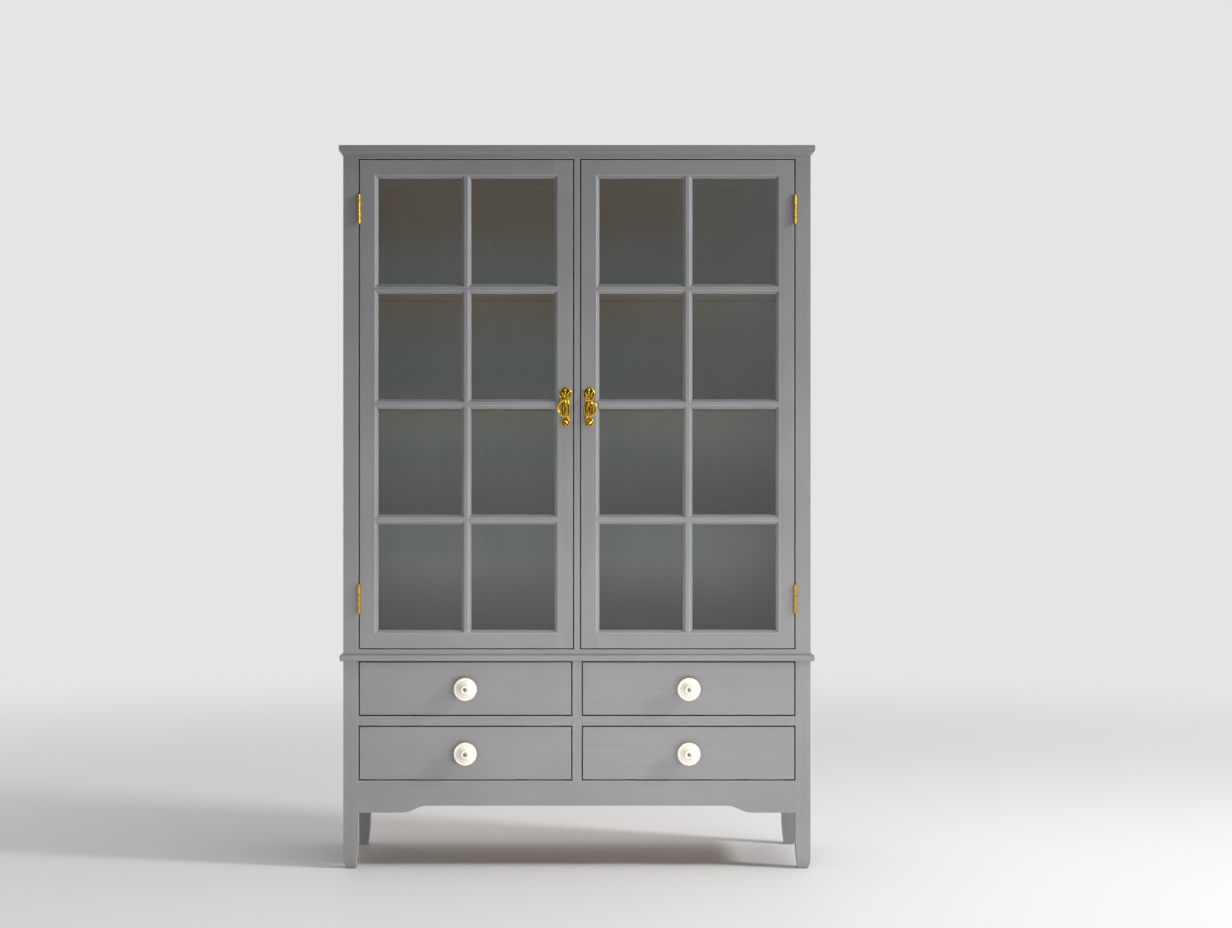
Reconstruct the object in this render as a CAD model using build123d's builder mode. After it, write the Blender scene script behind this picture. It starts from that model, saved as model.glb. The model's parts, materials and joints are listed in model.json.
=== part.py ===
from build123d import *
import os

# Overall sizes in millimetres. The front faces -Y, +X is to the viewer's right, the floor is at z = 0.
total_height = 1665
case_width = 1076
case_depth = 380
base_height = 478

# Clearances and hairline joints
joint_gap = 0.1
door_gap = 3.0
door_end_gap = 2.5
stop_clearance = 0.3
shelf_clearance = 1.0
cut_overrun = 5.0

# Legs
leg_size = 35
leg_taper_height = 80
leg_taper = 6
leg_toe_height = 26
leg_toe_round = 6.5

# Base
frame_thickness = 22
base_side_thickness = 16
base_side_inset = 4
base_back_thickness = 8
base_back_inset = 4
base_back_drop = 24
apron_end_height = 74
apron_arch_rise = 16
apron_shoulder_length = 98
apron_curve_length = 63
centre_post_width = 21
drawer_rail_height = 22
partition_thickness = 16
partition_drop = 30

# Waist board between the base and the upper case
waist_thickness = 15
waist_overhang = 8
waist_edge_radius = 4

# Drawers
drawer_front_height = 120.5
drawer_gap = 3.0
drawer_side_height = 98
drawer_board_thickness = 12
drawer_bottom_thickness = 5
drawer_bottom_rise = 8
drawer_groove_depth = 5
drawer_groove_play = 0.2
drawer_side_inset = 0.5
drawer_back_clearance = 12
runner_thickness = 12
runner_bearing = 16
runner_play = 0.5
guide_height = 14
guide_play = 1.0
stop_thickness = 12
stop_width = 30
stop_rise = 8
stop_glue_height = 14
stop_spacing = 260

# Knobs
knob_radius = 26
knob_foot_radius = 15
knob_foot_height = 4
knob_neck_radius = 11
knob_neck_height = 9
knob_rim_height = 17
knob_rim_thickness = 3.5
knob_groove_radius = 20.5
knob_groove_height = 21.5
knob_ring_radius = 18.5
knob_ring_height = 25
knob_waist_radius = 11.5
knob_waist_height = 29.5
knob_nose_radius = 8.5
knob_nose_height = 35
knob_recess_depth = 1.5
knob_screw_radius = 2.5
knob_bore_play = 0.2
knob_screw_head_radius = 4.8
knob_screw_head_height = 2.2
knob_slot_width = 1.4
knob_slot_depth = 1.2
knob_nut_radius = 5.5
knob_nut_height = 5

# Upper case
stile_width = 35
mullion_width = 13
bottom_rail_height = 12
top_rail_height = 18
case_side_thickness = 18
case_floor_thickness = 18
case_floor_rise = 15
case_floor_gap = 0.5
back_frame_thickness = 18
back_frame_width = 47
back_panel_thickness = 6
back_panel_recess = 6
crown_thickness = 13
crown_overhang = 9.5
crown_edge_radius = 2.5
moulding_height = 9
moulding_lip = 1
moulding_cove_radius = 7

# Shelves
shelf_thickness = 18
shelf_setback = 12
peg_radius = 3
peg_length = 26
peg_insertion = 11
peg_play = 0.05
peg_inset = 40

# Doors
member_flat = 35
bevel_width = 7
bar_flat = 8
pane_columns = 2
pane_rows = 4
pane_thickness = 3
pane_depth = 12
pane_play = 0.5
rebate_width = 7

# Hinges
hinge_height = 63.5
hinge_inset = 82
hinge_leaf_width = 18
hinge_leaf_thickness = 2
hinge_barrel_radius = 3.7
hinge_proud = 4.0
hinge_knuckles = 5
knuckle_gap = 0.2
pin_radius = 1.8
pin_play = 0.05
pin_tip_radius = 3.0
pin_tip_height = 2.0

# Door catches
catch_width = 26
catch_depth = 20
catch_height = 36
catch_offset = 45

# Handles
handle_height = 1063
plate_thickness = 2.5
plate_top_width = 28.6
plate_top_height = 33
plate_top_rise = 29.5
plate_middle_width = 23
plate_middle_height = 46
plate_middle_rise = -5
plate_foot_width = 21.6
plate_foot_height = 21.6
plate_foot_rise = -35.2
plate_waist_radius = 3
boss_height = 2.0
boss_scale_share = 0.62
bail_pivot_offset = 5.5
bail_reach = 23
bail_half_height = 18
bail_rise = -3.2
bail_radius = 2.3
bail_standoff = 7.0
bail_ball_radius = 2.8
bail_pin_radius = 1.6
bail_pin_play = 0.05
bail_pin_length = 4
bail_ear_gap = 0.3
ear_radius = 3.2
ear_length = 5
handle_screw_radius = 1.4
handle_screw_play = 0.1
handle_screw_length = 12
handle_screw_head_radius = 2.4
handle_screw_head_height = 1.2
handle_screw_top_rise = 40
handle_screw_foot_rise = -40

# Places worked out from the sizes above
knob_projection = knob_nose_height - knob_recess_depth + knob_screw_head_height
case_half = case_width / 2
front_y = (knob_projection - case_depth) / 2
back_y = front_y + case_depth
frame_back_y = front_y + frame_thickness
leg_back_y = front_y + leg_size
leg_inner_x = case_half - leg_size

waist_top = base_height + waist_thickness
crown_bottom = total_height - crown_thickness
opening_x = case_half - stile_width
opening_bottom = waist_top + bottom_rail_height
opening_top = crown_bottom - top_rail_height

case_inner_x = case_half - case_side_thickness
case_floor_top = opening_bottom + case_floor_rise
back_frame_front_y = back_y - back_frame_thickness

base_side_outer_x = case_half - base_side_inset
base_side_inner_x = base_side_outer_x - base_side_thickness
base_back_front_y = back_y - base_back_inset - base_back_thickness
rear_leg_front_y = back_y - leg_size

drawer_opening_height = drawer_front_height + 2 * drawer_gap
upper_row_base = base_height - drawer_opening_height
drawer_rail_bottom = upper_row_base - drawer_rail_height
apron_top = drawer_rail_bottom - drawer_opening_height
apron_bottom = apron_top - apron_end_height
row_bases = {"upper": upper_row_base, "lower": apron_top}

post_half = centre_post_width / 2
partition_half = partition_thickness / 2
drawer_outer_x = leg_inner_x - drawer_gap
drawer_inner_x = post_half + drawer_gap
drawer_centre_x = (drawer_outer_x + drawer_inner_x) / 2
drawer_front_thickness = frame_thickness - stop_clearance
drawer_front_back_y = front_y + drawer_front_thickness
drawer_back_y = base_back_front_y - drawer_back_clearance

door_outer_x = opening_x - door_gap
door_inner_x = mullion_width / 2 + door_gap
door_bottom = opening_bottom + door_end_gap
door_top = opening_top - door_end_gap
door_width = door_outer_x - door_inner_x
door_height = door_top - door_bottom
member_width = member_flat + bevel_width
bar_width = bar_flat + 2 * bevel_width
pane_width = (door_width - 2 * member_width - (pane_columns - 1) * bar_width) / pane_columns
pane_height = (door_height - 2 * member_width - (pane_rows - 1) * bar_width) / pane_rows
pane_y = front_y + pane_depth
bead_y = pane_y + pane_thickness

hinge_x = (opening_x + door_outer_x) / 2
hinge_y = front_y - hinge_proud
hinge_bottoms = (door_bottom + hinge_inset, door_top - hinge_inset - hinge_height)

handle_x = door_inner_x + member_flat / 2
bail_y = front_y - plate_thickness - bail_standoff


def face_plane(y):
    """Upright plane seen from the front, with its normal towards the viewer."""
    return Plane.XZ.offset(-y)


def side_plane(x):
    """Upright plane seen from the right-hand side."""
    return Plane.YZ.offset(x)


def board(x_low, x_high, y_low, y_high, z_low, z_high, mode=Mode.ADD):
    """One square-cut board between two opposite corners."""
    with Locations((x_low, y_low, z_low)):
        Box(x_high - x_low, y_high - y_low, z_high - z_low, align=(Align.MIN,) * 3, mode=mode)


def save(part, name):
    """Label a finished piece and write it to its own file."""
    part.label = name
    export_step(part, f"parts/{name}.step")


def save_mirrored(part, name):
    """Write the right-hand twin of a left-hand piece."""
    with BuildPart() as twin:
        mirror(part, about=Plane.YZ)
    save(twin.part, name)


os.makedirs("parts", exist_ok=True)


def leg_face(plane, outer, inner):
    """One face of a leg: a rounded toe on the outer side and a taper on the inner side."""
    inward = 1 if inner > outer else -1
    toe_end = (outer + inward * leg_toe_round, 0)
    taper_end = (inner - inward * leg_taper, 0)
    with BuildSketch(plane) as face:
        with BuildLine():
            Line((outer, base_height), (inner, base_height))
            Line((outer, base_height), (outer, leg_toe_height))
            TangentArc((outer, leg_toe_height), toe_end, tangent=(0, -1))
            Line(toe_end, taper_end)
            TangentArc((inner, leg_taper_height), taper_end, tangent=(0, -1))
            Line((inner, leg_taper_height), (inner, base_height))
        make_face()
    return face.sketch


def make_leg(outer_y, inner_y):
    """A left-hand leg, square above and shaped on both faces at the foot."""
    front_view = leg_face(face_plane(min(outer_y, inner_y)), -case_half, -leg_inner_x)
    side_view = leg_face(side_plane(-case_half), outer_y, inner_y)
    with BuildPart() as leg:
        extrude(front_view, amount=-leg_size)
        extrude(side_view, amount=leg_size, mode=Mode.INTERSECT)
    return leg.part


# Legs
front_leg = make_leg(front_y, leg_back_y)
save(front_leg, "left_front_leg")
save_mirrored(front_leg, "right_front_leg")
rear_leg = make_leg(back_y, rear_leg_front_y)
save(rear_leg, "left_rear_leg")
save_mirrored(rear_leg, "right_rear_leg")

# Side panels of the base, between the front and rear legs
with BuildPart() as base_sides:
    for low, high in (
        (-base_side_outer_x, -base_side_inner_x),
        (base_side_inner_x, base_side_outer_x),
    ):
        board(low, high, leg_back_y, rear_leg_front_y, apron_bottom, base_height)
save(base_sides.part, "base_sides")

# Back panel of the base
with BuildPart() as base_back:
    base_back_outer_y = base_back_front_y + base_back_thickness
    base_back_bottom = apron_top - base_back_drop
    board(-leg_inner_x, leg_inner_x, base_back_front_y, base_back_outer_y, base_back_bottom, base_height)
save(base_back.part, "base_back")


def apron_curve(side):
    """Reversed curve at one end of the apron, from its shoulder up to the long middle edge."""
    shoulder = (side * (leg_inner_x - apron_shoulder_length), apron_bottom)
    crest = (
        shoulder[0] - side * apron_curve_length,
        apron_bottom + apron_arch_rise,
    )
    middle = ((shoulder[0] + crest[0]) / 2, (shoulder[1] + crest[1]) / 2)
    TangentArc(shoulder, middle, tangent=(-side, 0))
    TangentArc(crest, middle, tangent=(side, 0))
    Line((side * leg_inner_x, apron_bottom), shoulder)
    Line((side * leg_inner_x, apron_bottom), (side * leg_inner_x, apron_top))
    return crest


# Shaped apron under the drawers
with BuildPart() as front_apron:
    with BuildSketch(face_plane(front_y)):
        with BuildLine():
            left_crest = apron_curve(-1)
            right_crest = apron_curve(1)
            Line(left_crest, right_crest)
            Line((-leg_inner_x, apron_top), (leg_inner_x, apron_top))
        make_face()
    extrude(amount=-frame_thickness)
save(front_apron.part, "front_apron")

# Post between the left and right drawers, and the rails between the two rows
with BuildPart() as centre_post:
    board(-post_half, post_half, front_y, frame_back_y, apron_top, base_height)
save(centre_post.part, "centre_post")

with BuildPart() as drawer_rails:
    for low, high in ((-leg_inner_x, -post_half), (post_half, leg_inner_x)):
        board(low, high, front_y, frame_back_y, drawer_rail_bottom, upper_row_base)
save(drawer_rails.part, "drawer_rails")

# Partition between the drawers, from the post to the back panel
with BuildPart() as drawer_partition:
    partition_bottom = apron_top - partition_drop
    board(
        -partition_half,
        partition_half,
        frame_back_y,
        base_back_front_y,
        partition_bottom,
        base_height,
    )
save(drawer_partition.part, "drawer_partition")


def runner_pair(row_base, side):
    """Bearing strips and side guides that carry one drawer."""
    runner_top = row_base + drawer_gap - runner_play
    guide_bottom = runner_top + joint_gap
    outer_strip_x = drawer_outer_x - runner_bearing
    inner_strip_x = drawer_inner_x + runner_bearing
    outer = ((outer_strip_x, base_side_inner_x), (drawer_outer_x + guide_play, base_side_inner_x))
    inner = ((partition_half, inner_strip_x), (partition_half, drawer_inner_x - guide_play))
    spans = ((outer, leg_back_y, rear_leg_front_y), (inner, frame_back_y, base_back_front_y))
    for (strip, guide), y_low, y_high in spans:
        strip_x = sorted(side * x for x in strip)
        guide_x = sorted(side * x for x in guide)
        board(*strip_x, y_low, y_high, runner_top - runner_thickness, runner_top)
        board(*guide_x, y_low, y_high, guide_bottom, guide_bottom + guide_height)


# Drawer runners
with BuildPart() as drawer_runners:
    for row_base in row_bases.values():
        for side in (-1, 1):
            runner_pair(row_base, side)
save(drawer_runners.part, "drawer_runners")

# Stop blocks glued behind the rails, which the closed drawer fronts meet
with BuildPart() as drawer_stops:
    for row_base in row_bases.values():
        for side in (-1, 1):
            for shift in (-stop_spacing / 2, stop_spacing / 2):
                stop_x = side * drawer_centre_x + shift - stop_width / 2
                board(
                    stop_x,
                    stop_x + stop_width,
                    frame_back_y,
                    frame_back_y + stop_thickness,
                    row_base - stop_glue_height,
                    row_base + stop_rise,
                )
save(drawer_stops.part, "drawer_stops")

# Waist board, with its front and side edges rounded
with BuildPart() as waist_board:
    board(
        -case_half - waist_overhang,
        case_half + waist_overhang,
        front_y - waist_overhang,
        back_y,
        base_height,
        waist_top,
    )
    waist_edges = waist_board.edges().filter_by(Axis.X).group_by(Axis.Y)[0]
    waist_edges += waist_board.edges().filter_by(Axis.Y)
    fillet(waist_edges, waist_edge_radius)
save(waist_board.part, "waist_board")


def member_centres(count, first_edge, size, pitch):
    """Centres of equal openings in a row, each one pitch after the last."""
    return [first_edge + size / 2 + step * pitch for step in range(count)]


# Grid of the left door's panes
pane_xs = member_centres(
    pane_columns, -door_outer_x + member_width, pane_width, pane_width + bar_width
)
pane_zs = member_centres(
    pane_rows, door_bottom + member_width, pane_height, pane_height + bar_width
)
pane_centres = [(x, z) for x in pane_xs for z in pane_zs]
bar_zs = [z + (pane_height + bar_width) / 2 for z in pane_zs[:-1]]
shelf_bottoms = [z - shelf_thickness / 2 for z in bar_zs]
peg_zs = [z - peg_radius for z in shelf_bottoms]
peg_ys = (
    frame_back_y + shelf_setback + peg_inset,
    back_frame_front_y - peg_inset,
)


def peg_row(radius, first_x, last_x, mode=Mode.ADD):
    """Round pegs or holes along one side of the case, at every shelf."""
    middle_x = (first_x + last_x) / 2
    with Locations(*[(middle_x, y, z) for y in peg_ys for z in peg_zs]):
        Cylinder(radius, abs(last_x - first_x), rotation=(0, 90, 0), mode=mode)


# Sides of the upper case, drilled for the shelf pegs
with BuildPart() as case_sides:
    for low, high in ((-case_half, -case_inner_x), (case_inner_x, case_half)):
        board(low, high, frame_back_y, back_y, waist_top, crown_bottom)
    hole_end = case_inner_x + peg_insertion + peg_play
    for side in (-1, 1):
        peg_row(peg_radius + peg_play, side * case_inner_x, side * hole_end, Mode.SUBTRACT)
save(case_sides.part, "case_sides")

# Shelf pegs
with BuildPart() as shelf_pegs:
    peg_end = case_inner_x + peg_insertion
    for side in (-1, 1):
        peg_row(peg_radius, side * (peg_end - peg_length), side * peg_end)
save(shelf_pegs.part, "shelf_pegs")


def leaf_seat(x_edge, inward):
    """Recesses for the hinge leaves in the edge of one upright."""
    for bottom in hinge_bottoms:
        x_low, x_high = sorted((x_edge, x_edge + inward * hinge_leaf_thickness))
        board(
            x_low,
            x_high,
            front_y,
            front_y + hinge_leaf_width,
            bottom,
            bottom + hinge_height,
            mode=Mode.SUBTRACT,
        )


# Face frame of the upper case: two stiles and two rails, with hairline joints between them
with BuildPart() as face_frame:
    for low, high in ((-case_half, -opening_x), (opening_x, case_half)):
        board(low, high, front_y, frame_back_y, waist_top, crown_bottom)
    for low, high in ((waist_top, opening_bottom), (opening_top, crown_bottom)):
        rail_end = opening_x - joint_gap
        board(-rail_end, rail_end, front_y, frame_back_y, low, high)
    leaf_seat(-opening_x, -1)
    leaf_seat(opening_x, 1)
save(face_frame.part, "face_frame")

# Narrow upright between the doors
with BuildPart() as centre_mullion:
    mullion_half = mullion_width / 2
    board(-mullion_half, mullion_half, front_y, frame_back_y, opening_bottom, opening_top)
save(centre_mullion.part, "centre_mullion")

# Floor of the upper case, standing above the bottom rail so that the doors close against it
with BuildPart() as case_floor:
    board(
        -case_inner_x,
        case_inner_x,
        frame_back_y + case_floor_gap,
        back_frame_front_y,
        case_floor_top - case_floor_thickness,
        case_floor_top,
    )
save(case_floor.part, "case_floor")

# Framed back of the upper case
back_rail_bottoms = (
    waist_top,
    crown_bottom - back_frame_width,
)
back_panel_low = waist_top + back_frame_width
with BuildPart() as case_back_frame:
    for low, high in (
        (-case_inner_x, back_frame_width - case_inner_x),
        (case_inner_x - back_frame_width, case_inner_x),
    ):
        board(low, high, back_frame_front_y, back_y, waist_top, crown_bottom)
    for low in back_rail_bottoms:
        rail_end = case_inner_x - back_frame_width - joint_gap
        board(-rail_end, rail_end, back_frame_front_y, back_y, low, low + back_frame_width)
save(case_back_frame.part, "case_back_frame")

with BuildPart() as case_back_panel:
    panel_end = case_inner_x - back_frame_width
    panel_front_y = back_frame_front_y + back_panel_recess
    board(
        -panel_end,
        panel_end,
        panel_front_y,
        panel_front_y + back_panel_thickness,
        back_panel_low,
        crown_bottom - back_frame_width,
    )
save(case_back_panel.part, "case_back_panel")

# Top board
with BuildPart() as top_board:
    board(
        -case_half - crown_overhang,
        case_half + crown_overhang,
        front_y - crown_overhang,
        back_y,
        crown_bottom,
        total_height,
    )
    crown_edges = top_board.edges().filter_by(Axis.X).group_by(Axis.Y)[0]
    crown_edges += top_board.edges().filter_by(Axis.Y)
    fillet(crown_edges, crown_edge_radius)
save(top_board.part, "top_board")

# Cove moulding under the top board, mitred at the two front corners
moulding_plane = Plane(
    origin=(-case_half, back_y, crown_bottom - moulding_height),
    x_dir=(-1, 0, 0),
    z_dir=(0, 1, 0),
)
moulding_width = moulding_lip + moulding_cove_radius
with BuildPart() as crown_moulding:
    with BuildLine() as moulding_path:
        Polyline(
            (-case_half, back_y, crown_bottom - moulding_height),
            (-case_half, front_y, crown_bottom - moulding_height),
            (case_half, front_y, crown_bottom - moulding_height),
            (case_half, back_y, crown_bottom - moulding_height),
        )
    with BuildSketch(moulding_plane) as moulding_section:
        with BuildLine():
            CenterArc((moulding_width, 0), moulding_cove_radius, 90, 90)
            Line((moulding_lip, 0), (0, 0))
            Line((0, 0), (0, moulding_height))
            Line((0, moulding_height), (moulding_width, moulding_height))
            Line((moulding_width, moulding_height), (moulding_width, moulding_cove_radius))
        make_face()
    sweep(path=moulding_path.line, transition=Transition.RIGHT)
    for side in (-1, 1):
        mitre = Plane(origin=(side * case_half, front_y, 0), z_dir=(1, side, 0))
        split(bisect_by=mitre, keep=Keep.BOTH)
save(crown_moulding.part, "crown_moulding")

# Shelves on their pegs, one behind each glazing bar
shelf_names = ("lower_shelf", "middle_shelf", "upper_shelf")
for shelf_name, shelf_bottom in zip(shelf_names, shelf_bottoms):
    with BuildPart() as shelf:
        board(
            shelf_clearance - case_inner_x,
            case_inner_x - shelf_clearance,
            frame_back_y + shelf_setback,
            back_frame_front_y - shelf_clearance,
            shelf_bottom,
            shelf_bottom + shelf_thickness,
        )
    save(shelf.part, shelf_name)

# Magnetic catch blocks under the top board, which the closed doors meet
with BuildPart() as door_catches:
    for side in (-1, 1):
        catch_x = side * catch_offset - catch_width / 2
        board(
            catch_x,
            catch_x + catch_width,
            frame_back_y + stop_clearance,
            frame_back_y + stop_clearance + catch_depth,
            crown_bottom - catch_height,
            crown_bottom,
        )
save(door_catches.part, "door_catches")


def knuckle_spans(bottom, owned):
    """Heights of the knuckles that belong to one leaf of a hinge, counted from below."""
    pitch = hinge_height / hinge_knuckles
    for step in range(owned, hinge_knuckles, 2):
        low = bottom + step * pitch + knuckle_gap / 2
        yield low, low + pitch - knuckle_gap


def upright(x, y, z_low, z_high, radius, mode=Mode.ADD):
    """One round upright pin, barrel or hole."""
    with Locations((x, y, z_low)):
        Cylinder(
            radius, z_high - z_low, align=(Align.CENTER, Align.CENTER, Align.MIN), mode=mode
        )


def hinge_leaf(edge_x, into, owned):
    """One leaf of each hinge on the left, with its own knuckles bored for the pin."""
    leaf_x = sorted((edge_x, edge_x + into * hinge_leaf_thickness))
    bore_radius = pin_radius + pin_play
    for bottom in hinge_bottoms:
        top = bottom + hinge_height
        board(*leaf_x, front_y, front_y + hinge_leaf_width, bottom, top)
        for low, high in knuckle_spans(bottom, owned):
            board(*leaf_x, hinge_y, front_y, low, high)
            upright(-hinge_x, hinge_y, low, high, hinge_barrel_radius)
        upright(-hinge_x, hinge_y, bottom, top, bore_radius, Mode.SUBTRACT)


# Hinge leaves let into the stiles of the case
with BuildPart() as case_hinge_leaves:
    hinge_leaf(-opening_x, -1, 0)
    mirror(about=Plane.YZ)
save(case_hinge_leaves.part, "case_hinge_leaves")

# Hinge pins with round tips
with BuildPart() as hinge_pins:
    for bottom in hinge_bottoms:
        top = bottom + hinge_height
        upright(-hinge_x, hinge_y, bottom, top, pin_radius)
        upright(-hinge_x, hinge_y, bottom - pin_tip_height, bottom, pin_tip_radius)
        upright(-hinge_x, hinge_y, top, top + pin_tip_height, pin_tip_radius)
    mirror(about=Plane.YZ)
save(hinge_pins.part, "hinge_pins")

# Whole frame of the left door before it is cut into its members
hinge_edge = -door_outer_x
meeting_edge = -door_inner_x
with BuildPart() as door_blank:
    board(hinge_edge, meeting_edge, front_y, frame_back_y, door_bottom, door_top)
    with BuildSketch(face_plane(front_y)):
        with Locations(*pane_centres):
            Rectangle(pane_width, pane_height)
    extrude(amount=-frame_thickness, mode=Mode.SUBTRACT)
    with BuildSketch(face_plane(pane_y)):
        with Locations(*pane_centres):
            Rectangle(pane_width + 2 * rebate_width, pane_height + 2 * rebate_width)
    extrude(amount=pane_depth - frame_thickness, mode=Mode.SUBTRACT)
    chamfer(door_blank.faces().sort_by(Axis.Y)[0].inner_wires().edges(), bevel_width)
    leaf_seat(hinge_edge, 1)
    with BuildSketch(face_plane(front_y)):
        with Locations(
            (-handle_x, handle_height + handle_screw_top_rise),
            (-handle_x, handle_height + handle_screw_foot_rise),
        ):
            Circle(handle_screw_radius + handle_screw_play)
    extrude(amount=-handle_screw_length, mode=Mode.SUBTRACT)

inner_low_x = hinge_edge + member_width
inner_high_x = meeting_edge - member_width
inner_low_z = door_bottom + member_width
inner_high_z = door_top - member_width
door_y = (front_y - cut_overrun, frame_back_y + cut_overrun)

with BuildPart() as door_stiles:
    add(door_blank.part)
    board(inner_low_x, inner_high_x, *door_y, door_bottom, door_top, mode=Mode.SUBTRACT)
save(door_stiles.part, "left_door_stiles")
save_mirrored(door_stiles.part, "right_door_stiles")

with BuildPart() as door_rails:
    add(door_blank.part)
    board(inner_low_x, inner_high_x, *door_y, door_bottom, door_top, mode=Mode.INTERSECT)
    board(inner_low_x, inner_high_x, *door_y, inner_low_z, inner_high_z, mode=Mode.SUBTRACT)
save(door_rails.part, "left_door_rails")
save_mirrored(door_rails.part, "right_door_rails")

with BuildPart() as bar_grid:
    add(door_blank.part)
    board(inner_low_x, inner_high_x, *door_y, inner_low_z, inner_high_z, mode=Mode.INTERSECT)

# The grid is cut at the sides of its upright, so that each short bar is a piece of its own
bar_edges = [x + pane_width / 2 + step for x in pane_xs[:-1] for step in (0, bar_width)]
for side, name in ((1, "left_glazing_bars"), (-1, "right_glazing_bars")):
    with BuildPart() as glazing_bars:
        if side > 0:
            add(bar_grid.part)
        else:
            mirror(bar_grid.part, about=Plane.YZ)
        for bar_edge in bar_edges:
            split(bisect_by=side_plane(side * bar_edge), keep=Keep.BOTH)
    save(glazing_bars.part, name)

# Glass in its rebates
with BuildPart() as glass_panes:
    glass_margin = rebate_width - pane_play
    with BuildSketch(face_plane(pane_y)):
        with Locations(*pane_centres):
            Rectangle(pane_width + 2 * glass_margin, pane_height + 2 * glass_margin)
    extrude(amount=-pane_thickness)
save(glass_panes.part, "left_glass_panes")
save_mirrored(glass_panes.part, "right_glass_panes")

# Beads that hold the glass from behind
with BuildPart() as glazing_beads:
    bead_margin = rebate_width - joint_gap
    with BuildSketch(face_plane(bead_y)):
        with Locations(*pane_centres):
            Rectangle(pane_width + 2 * bead_margin, pane_height + 2 * bead_margin)
            Rectangle(pane_width, pane_height, mode=Mode.SUBTRACT)
    extrude(amount=bead_y - frame_back_y)
save(glazing_beads.part, "left_glazing_beads")
save_mirrored(glazing_beads.part, "right_glazing_beads")

# Hinge leaves let into the edge of the door
with BuildPart() as door_hinge_leaves:
    hinge_leaf(hinge_edge, 1, 1)
save(door_hinge_leaves.part, "left_door_hinge_leaves")
save_mirrored(door_hinge_leaves.part, "right_door_hinge_leaves")

# Handle plate: three rounded lobes, two raised bosses, two ears for the bail and two screws
handle_plane = Plane(
    origin=(-handle_x, front_y, handle_height),
    x_dir=(1, 0, 0),
    z_dir=(0, -1, 0),
)
bail_x = bail_pivot_offset - handle_x
bail_end_zs = (
    handle_height + bail_rise - bail_half_height,
    handle_height + bail_rise + bail_half_height,
)
handle_screw_rises = (handle_screw_foot_rise, handle_screw_top_rise)
ear_offset = bail_ball_radius + bail_ear_gap


def plate_lobes(scale):
    """The three lobes of the handle plate, the middle one left out of the raised bosses."""
    with Locations((0, plate_top_rise)):
        Ellipse(scale * plate_top_width / 2, scale * plate_top_height / 2)
    with Locations((0, plate_foot_rise)):
        Ellipse(scale * plate_foot_width / 2, scale * plate_foot_height / 2)


with BuildPart() as handle_plate:
    with BuildSketch(handle_plane) as plate_outline:
        plate_lobes(1)
        with Locations((0, plate_middle_rise)):
            Ellipse(plate_middle_width / 2, plate_middle_height / 2)
        fillet(plate_outline.vertices(), plate_waist_radius)
    extrude(amount=plate_thickness)
    with BuildSketch(handle_plane.offset(plate_thickness)):
        plate_lobes(boss_scale_share)
    extrude(amount=boss_height)
    for end_z, outward in zip(bail_end_zs, (-1, 1)):
        ear_low, ear_high = sorted(
            (end_z + outward * ear_offset, end_z + outward * (ear_offset + ear_length))
        )
        board(bail_x - ear_radius, bail_x + ear_radius, bail_y, front_y, ear_low, ear_high)
        upright(bail_x, bail_y, ear_low, ear_high, ear_radius)
        pin_low, pin_high = sorted(
            (end_z + outward * ear_offset, end_z + outward * (ear_offset + bail_pin_length))
        )
        pin_bore = bail_pin_radius + bail_pin_play
        upright(bail_x, bail_y, pin_low, pin_high, pin_bore, Mode.SUBTRACT)
    with BuildSketch(handle_plane):
        with Locations(*[(0, rise) for rise in handle_screw_rises]):
            Circle(handle_screw_radius + handle_screw_play)
    extrude(amount=plate_thickness + boss_height, mode=Mode.SUBTRACT)
    screw_seat = handle_plane.offset(plate_thickness + boss_height + joint_gap)
    with BuildSketch(screw_seat):
        with Locations(*[(0, rise) for rise in handle_screw_rises]):
            Circle(handle_screw_radius)
    extrude(amount=-handle_screw_length)
    with BuildSketch(screw_seat):
        with Locations(*[(0, rise) for rise in handle_screw_rises]):
            Circle(handle_screw_head_radius)
    extrude(amount=handle_screw_head_height)
save(handle_plate.part, "left_handle_plate")
save_mirrored(handle_plate.part, "right_handle_plate")

# Bail: a round ring that swings sideways on two upright pins
bail_plane = handle_plane.offset(plate_thickness + bail_standoff)
with BuildPart() as handle_bail:
    with BuildLine(bail_plane) as bail_path:
        ThreePointArc(
            (bail_pivot_offset, bail_rise + bail_half_height),
            (bail_pivot_offset - bail_reach, bail_rise),
            (bail_pivot_offset, bail_rise - bail_half_height),
        )
    with BuildSketch(Plane(origin=bail_path.line @ 0, z_dir=bail_path.line % 0)):
        Circle(bail_radius)
    sweep(path=bail_path.line)
    for end_z, outward in zip(bail_end_zs, (-1, 1)):
        with Locations((bail_x, bail_y, end_z)):
            Sphere(bail_ball_radius)
        pin_end = end_z + outward * (ear_offset + bail_pin_length - bail_ear_gap)
        upright(bail_x, bail_y, *sorted((end_z, pin_end)), bail_pin_radius)
save(handle_bail.part, "left_handle_bail")
save_mirrored(handle_bail.part, "right_handle_bail")


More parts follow.
